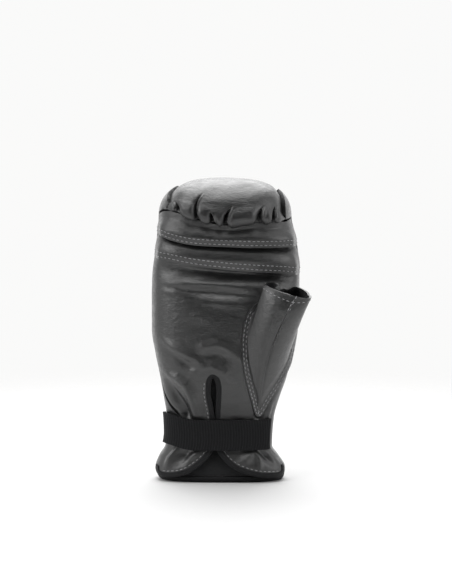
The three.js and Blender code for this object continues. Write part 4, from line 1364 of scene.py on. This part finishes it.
def stitch_tree():
    """Geometry Nodes: a grain of thread at every pitch along each line of a mesh."""
    tree = bpy.data.node_groups.new("thread_rows", "GeometryNodeTree")
    tree.is_modifier = True
    for name, kind in (
        ("Geometry", "Geometry"),
        ("Pitch", "Float"),
        ("Length", "Float"),
        ("Width", "Float"),
        ("Seed", "Int"),
        ("Thread", "Material"),
    ):
        tree.interface.new_socket(name, in_out="INPUT", socket_type=f"NodeSocket{kind}")
    tree.interface.new_socket("Geometry", in_out="OUTPUT", socket_type="NodeSocketGeometry")
    nodes = tree.nodes
    given = add_node(nodes, "NodeGroupInput")
    curve = add_node(nodes, "GeometryNodeMeshToCurve")
    spaced = add_node(nodes, "GeometryNodeResampleCurve", mode="LENGTH")
    grain = add_node(nodes, "GeometryNodeMeshUVSphere", Segments=8, Rings=5, Radius=0.5)
    size = add_node(nodes, "ShaderNodeCombineXYZ")
    shaped = add_node(nodes, "GeometryNodeTransform")
    smooth = add_node(nodes, "GeometryNodeSetShadeSmooth")
    tangent = add_node(nodes, "GeometryNodeInputTangent")
    out = add_node(nodes, "GeometryNodeInputNamedAttribute", data_type="FLOAT_VECTOR", Name="out")
    turn = add_node(nodes, "FunctionNodeAxesToRotation", primary_axis="X", secondary_axis="Z")
    vary = add_node(
        nodes,
        "FunctionNodeRandomValue",
        data_type="FLOAT_VECTOR",
        Min=(0.88, 0.9, 0.9),
        Max=(1.1, 1.1, 1.1),
    )
    laid = add_node(nodes, "GeometryNodeInstanceOnPoints")
    real = add_node(nodes, "GeometryNodeRealizeInstances")
    painted = add_node(nodes, "GeometryNodeSetMaterial")
    wire(
        tree.links,
        (given, "Geometry", curve, "Mesh"),
        (curve, "Curve", spaced, "Curve"),
        (given, "Pitch", spaced, "Length"),
        (given, "Length", size, "X"),
        (given, "Width", size, "Y"),
        (given, "Width", size, "Z"),
        (grain, "Mesh", shaped, "Geometry"),
        (size, "Vector", shaped, "Scale"),
        (shaped, "Geometry", smooth, "Geometry"),
        (tangent, "Tangent", turn, "Primary Axis"),
        (out, "Attribute", turn, "Secondary Axis"),
        (given, "Seed", vary, "Seed"),
        (spaced, "Curve", laid, "Points"),
        (smooth, "Geometry", laid, "Instance"),
        (turn, "Rotation", laid, "Rotation"),
        (vary, "Value", laid, "Scale"),
        (laid, "Instances", real, "Geometry"),
        (real, "Geometry", painted, "Geometry"),
        (given, "Thread", painted, "Material"),
        (painted, "Geometry", add_node(nodes, "NodeGroupOutput"), "Geometry"),
    )
    return tree


def stitch_rows(context, name, rows):
    """Thread along rows of points, each with its outward normals, as one plain mesh."""
    points = np.concatenate([row[0] for row in rows])
    out = np.concatenate([row[1] for row in rows])
    edges = []
    first = 0
    for row, _ in rows:
        edges += [(first + i, first + i + 1) for i in range(len(row) - 1)]
        first += len(row)
    mesh = bpy.data.meshes.new(f"{name}_lines")
    mesh.from_pydata(points.tolist(), edges, [])
    mesh.attributes.new("out", "FLOAT_VECTOR", "POINT").data.foreach_set("vector", out.ravel())
    guide = bpy.data.objects.new(f"{name}_lines", mesh)
    context.scene.collection.objects.link(guide)
    tree = bpy.data.node_groups.get("thread_rows") or stitch_tree()
    thread = context.scene.glove_stitches
    modifier = guide.modifiers.new("thread", "NODES")
    modifier.node_group = tree
    values = {
        "Pitch": thread.pitch,
        "Length": thread.length,
        "Width": thread.width,
        "Seed": thread.seed,
        "Thread": finish_named(context, "grey_thread"),
    }
    for item in tree.interface.items_tree:
        if item.item_type == "SOCKET" and item.in_out == "INPUT" and item.name in values:
            modifier[item.identifier] = values[item.name]
    context.view_layer.update()
    made = bpy.data.meshes.new_from_object(guide.evaluated_get(context.evaluated_depsgraph_get()))
    bpy.data.objects.remove(guide)
    made.name = name
    piece = bpy.data.objects.new(name, made)
    context.scene.collection.objects.link(piece)
    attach(piece, "root")
    return piece


def surface_row(surface, u, v, lift):
    """A row of points on a surface given as a function of u and v, lifted along its outward normal."""
    step = 1e-3
    along_u = surface(u + step, v) - surface(u - step, v)
    along_v = surface(u, v + step) - surface(u, v - step)
    normal = unit(np.cross(along_u, along_v))
    normal *= np.where(normal[:, 1:2] > 0, -1, 1)
    return surface(u, v) + normal * lift, normal


class GLOVE_OT_stitches(Operator):
    """Rows of light thread along the seams"""

    bl_idname = "glove.stitches"
    bl_label = "Stitches"

    def execute(self, context):
        shape = GloveShape(context.scene.glove_sizes)
        thread = context.scene.glove_stitches
        self.band_rows(context, shape, thread.lift)
        self.thumb_rows(context, shape, thread.lift)
        self.palm_rows(context, shape, thread.palm_lift)
        return {"FINISHED"}

    def band_rows(self, context, shape, lift):
        """A double row along each band's lower edge."""
        sizes = shape.sizes
        u = np.linspace(0.004, 0.996, 200)
        rows = []
        for band in BANDS.values():
            across, low = band_foot(shape, band, u)
            high = shape.seam_height(band["high"], across)
            for offset in (sizes.edge_margin, sizes.edge_margin + sizes.row_space):
                rows.append(surface_row(partial(band_surface, shape, band), u, offset / (high - low), lift))
        stitch_rows(context, "band_stitches", rows)

    def thumb_rows(self, context, shape, lift):
        """Double rows on the thumb's flange, one row under its rim, and a pair at the fold's top."""
        flange = THUMB_FLANGE
        width = flange["outside"] + flange["inside"]
        flange_rows, flange_sides = (0.0, -2.1), ((0.005, 0.41), (0.80, 0.995))
        under_rim, rim_sides = 0.955, ((-0.24, -0.004), (0.004, 0.34))
        fold_top, fold_rows = (0.90, 0.993), (-0.08, 0.08)
        places = []
        for expand in flange_rows:
            level = flange["level"] * (flange["outside"] - expand) / width
            places += [(np.linspace(*side, 120), level) for side in flange_sides]
        places += [(np.linspace(*side, 80), under_rim) for side in rim_sides]
        level = np.linspace(*fold_top, 12)
        places += [(offset * (1 - level), level) for offset in fold_rows]
        surface = partial(thumb_surface, shape)
        rows = [surface_row(surface, turn, level, lift) for turn, level in places]
        stitch_rows(context, "thumb_stitches", rows)

    def palm_rows(self, context, shape, lift):
        """A row beside the tape, round each flap and up the slit's left side."""
        sizes = shape.sizes
        count = 420
        ends, before_top, after_top = 16, 14, 95
        x, z = palm_edge_line(shape, count, sizes.binding_width / 2 + sizes.tape_margin)
        top = int(np.argmax(z))
        rows = []
        for part in (slice(ends, top - before_top), slice(top + after_top, count - ends)):
            across = x[part] / shape.side_at(x[part], z[part])
            inner = palm_point(shape, across, z[part])
            out = unit(palm_point(shape, across, z[part], 1 * MM) - inner)
            rows.append((inner + out * lift, out))
        stitch_rows(context, "palm_stitches", rows)


class GLOVE_OT_studio(Operator):
    """White floor, soft lights and the camera"""

    bl_idname = "glove.studio"
    bl_label = "Studio"

    def execute(self, context):
        self.floor(context)
        self.surround(context)
        self.lights(context)
        self.camera(context)
        return {"FINISHED"}

    def floor(self, context):
        """A white floor that fades into the white surround away from the glove."""
        reach = 3.0
        fade_start, fade_end = 0.16, 0.75
        mesh = bpy.data.meshes.new("studio_floor")
        corners = [(-reach, -reach, 0), (reach, -reach, 0), (reach, reach, 0), (-reach, reach, 0)]
        mesh.from_pydata(corners, [], [(0, 1, 2, 3)])
        material = bpy.data.materials.new("studio_white")
        nodes, links, shader = node_tree(material)
        shader.inputs["Base Color"].default_value = (*context.scene.glove_colours.floor, 1)
        shader.inputs["Roughness"].default_value = 0.7
        shader.inputs["Specular IOR Level"].default_value = 0.1
        where = add_node(nodes, "ShaderNodeTexCoord")
        away = add_node(nodes, "ShaderNodeVectorMath", operation="LENGTH")
        fade = add_node(nodes, "ShaderNodeMapRange", From_Min=fade_start, From_Max=fade_end)
        fade.interpolation_type = "SMOOTHSTEP"
        clear = add_node(nodes, "ShaderNodeBsdfTransparent")
        mixed = add_node(nodes, "ShaderNodeMixShader")
        wire(
            links,
            (where, "Object", away, 0),
            (away, "Value", fade, "Value"),
            (fade, "Result", mixed, 0),
            (shader, "BSDF", mixed, 1),
            (clear, "BSDF", mixed, 2),
            (mixed, "Shader", nodes["Material Output"], "Surface"),
        )
        mesh.materials.append(material)
        piece = bpy.data.objects.new("studio_floor", mesh)
        context.scene.collection.objects.link(piece)

    def surround(self, context):
        """White to look at, and lit from above, behind and the sides, with a darker front.
        Each glow grows along an axis (0 for x, 1 for y, 2 for z) from start to end."""
        base_light = 0.02
        world = bpy.data.worlds.new("studio_surround")
        context.scene.world = world
        world.use_nodes = True
        nodes, links = world.node_tree.nodes, world.node_tree.links
        split = add_node(nodes, "ShaderNodeSeparateXYZ")
        links.new(add_node(nodes, "ShaderNodeTexCoord").outputs["Generated"], split.inputs["Vector"])
        total = None
        glows = table("axis start end power", [
            (2, 0.55, 1.00, 1.3),
            (1, 0.20, 0.9, 1.8),
            (0, -0.45, -1.0, 0.8),
            (0, 0.45, 1.0, 0.9),
        ])
        for axis, start, end, power in zip(*glows.values()):
            glow = add_node(nodes, "ShaderNodeMapRange", From_Min=start, From_Max=end, To_Max=power)
            glow.interpolation_type = "SMOOTHSTEP"
            joined = add_node(nodes, "ShaderNodeMath", operation="ADD")
            joined.inputs[1].default_value = base_light
            wire(links, (split, int(axis), glow, "Value"), (glow, "Result", joined, 0))
            if total:
                wire(links, (total, "Value", joined, 1))
            total = joined
        lit = nodes["Background"]
        lit.inputs["Color"].default_value = (1.0, 1.0, 1.0, 1)
        seen = add_node(nodes, "ShaderNodeBackground", Color=(0.955, 0.955, 0.95, 1))
        mixed = add_node(nodes, "ShaderNodeMixShader")
        wire(
            links,
            (total, "Value", lit, "Strength"),
            (add_node(nodes, "ShaderNodeLightPath"), "Is Camera Ray", mixed, 0),
            (lit, "Background", mixed, 1),
            (seen, "Background", mixed, 2),
            (mixed, "Shader", nodes["World Output"], "Surface"),
        )

    def lights(self, context):
        """Soft panels overhead, from both sides and from behind, and a wash on the floor in front."""
        middle = Vector((0, 0, 0.13))
        panels = table("x y z wide watts", [
            (-0.10, -0.10, 1.25, 1.0, 10.0),
            (-1.10, -0.75, 0.75, 0.8, 8.0),
            (1.10, -0.70, 0.65, 0.6, 3.5),
            (0.00, 0.60, 1.00, 0.9, 9.0),
        ])
        for n, (x, y, z, wide, watts) in enumerate(zip(*panels.values())):
            light = bpy.data.lights.new(f"panel_{n}", "AREA")
            light.size = wide
            light.energy = watts
            lamp = bpy.data.objects.new(f"panel_{n}", light)
            lamp.location = (x, y, z)
            lamp.rotation_euler = (middle - lamp.location).to_track_quat("-Z", "Y").to_euler()
            context.scene.collection.objects.link(lamp)
        wash = bpy.data.lights.new("floor_wash", "AREA")
        wash.size = 0.7
        wash.spread = math.radians(60)
        wash.energy = 12.0
        lamp = bpy.data.objects.new("floor_wash", wash)
        lamp.location = (0.0, -0.80, 0.50)
        context.scene.collection.objects.link(lamp)

    def camera(self, context):
        """The photograph's view: nearly level, from in front of the palm."""
        elevation = math.radians(5)
        distance = 1.6
        focal_millimetres = 120
        aim = Vector((-3.7 * MM, 5.8 * MM, 155 * MM))
        back = Vector((0, -math.cos(elevation), math.sin(elevation)))
        lens = bpy.data.cameras.new("view")
        lens.lens = focal_millimetres
        camera = bpy.data.objects.new("view", lens)
        camera.location = aim + back * distance
        camera.rotation_euler = (-back).to_track_quat("-Z", "Y").to_euler()
        context.scene.collection.objects.link(camera)
        context.scene.camera = camera
        context.scene.view_settings.view_transform = "Standard"


class GLOVE_PT_panel(Panel):
    """The glove's sizes, colours and pieces"""

    bl_idname = "GLOVE_PT_panel"
    bl_label = "Bag glove"
    bl_space_type = "VIEW_3D"
    bl_region_type = "UI"
    bl_category = "Glove"

    def draw(self, context):
        layout = self.layout
        for group in (context.scene.glove_sizes, context.scene.glove_stitches, context.scene.glove_colours):
            box = layout.box()
            for name in group.__annotations__:
                box.prop(group, name)
        for operator in OPERATORS:
            layout.operator(operator.bl_idname)


GROUPS = {"glove_sizes": GloveSizes, "glove_stitches": GloveStitches, "glove_colours": GloveColours}
OPERATORS = (
    GLOVE_OT_studio,
    GLOVE_OT_striking_pad,
    GLOVE_OT_side_gussets,
    GLOVE_OT_palm_bands,
    GLOVE_OT_palm,
    GLOVE_OT_thumb,
    GLOVE_OT_elastic,
    GLOVE_OT_bindings,
    GLOVE_OT_lining,
    GLOVE_OT_stitches,
)
CLASSES = (*GROUPS.values(), *OPERATORS, GLOVE_PT_panel)


def register():
    for each in CLASSES:
        bpy.utils.register_class(each)
    for name, group in GROUPS.items():
        setattr(bpy.types.Scene, name, PointerProperty(type=group))


def unregister():
    for name in GROUPS:
        delattr(bpy.types.Scene, name)
    for each in reversed(CLASSES):
        bpy.utils.unregister_class(each)


def main():
    register()
    for operator in OPERATORS:
        group, name = operator.bl_idname.split(".")
        getattr(getattr(bpy.ops, group), name)()


if __name__ == "__main__":
    main()
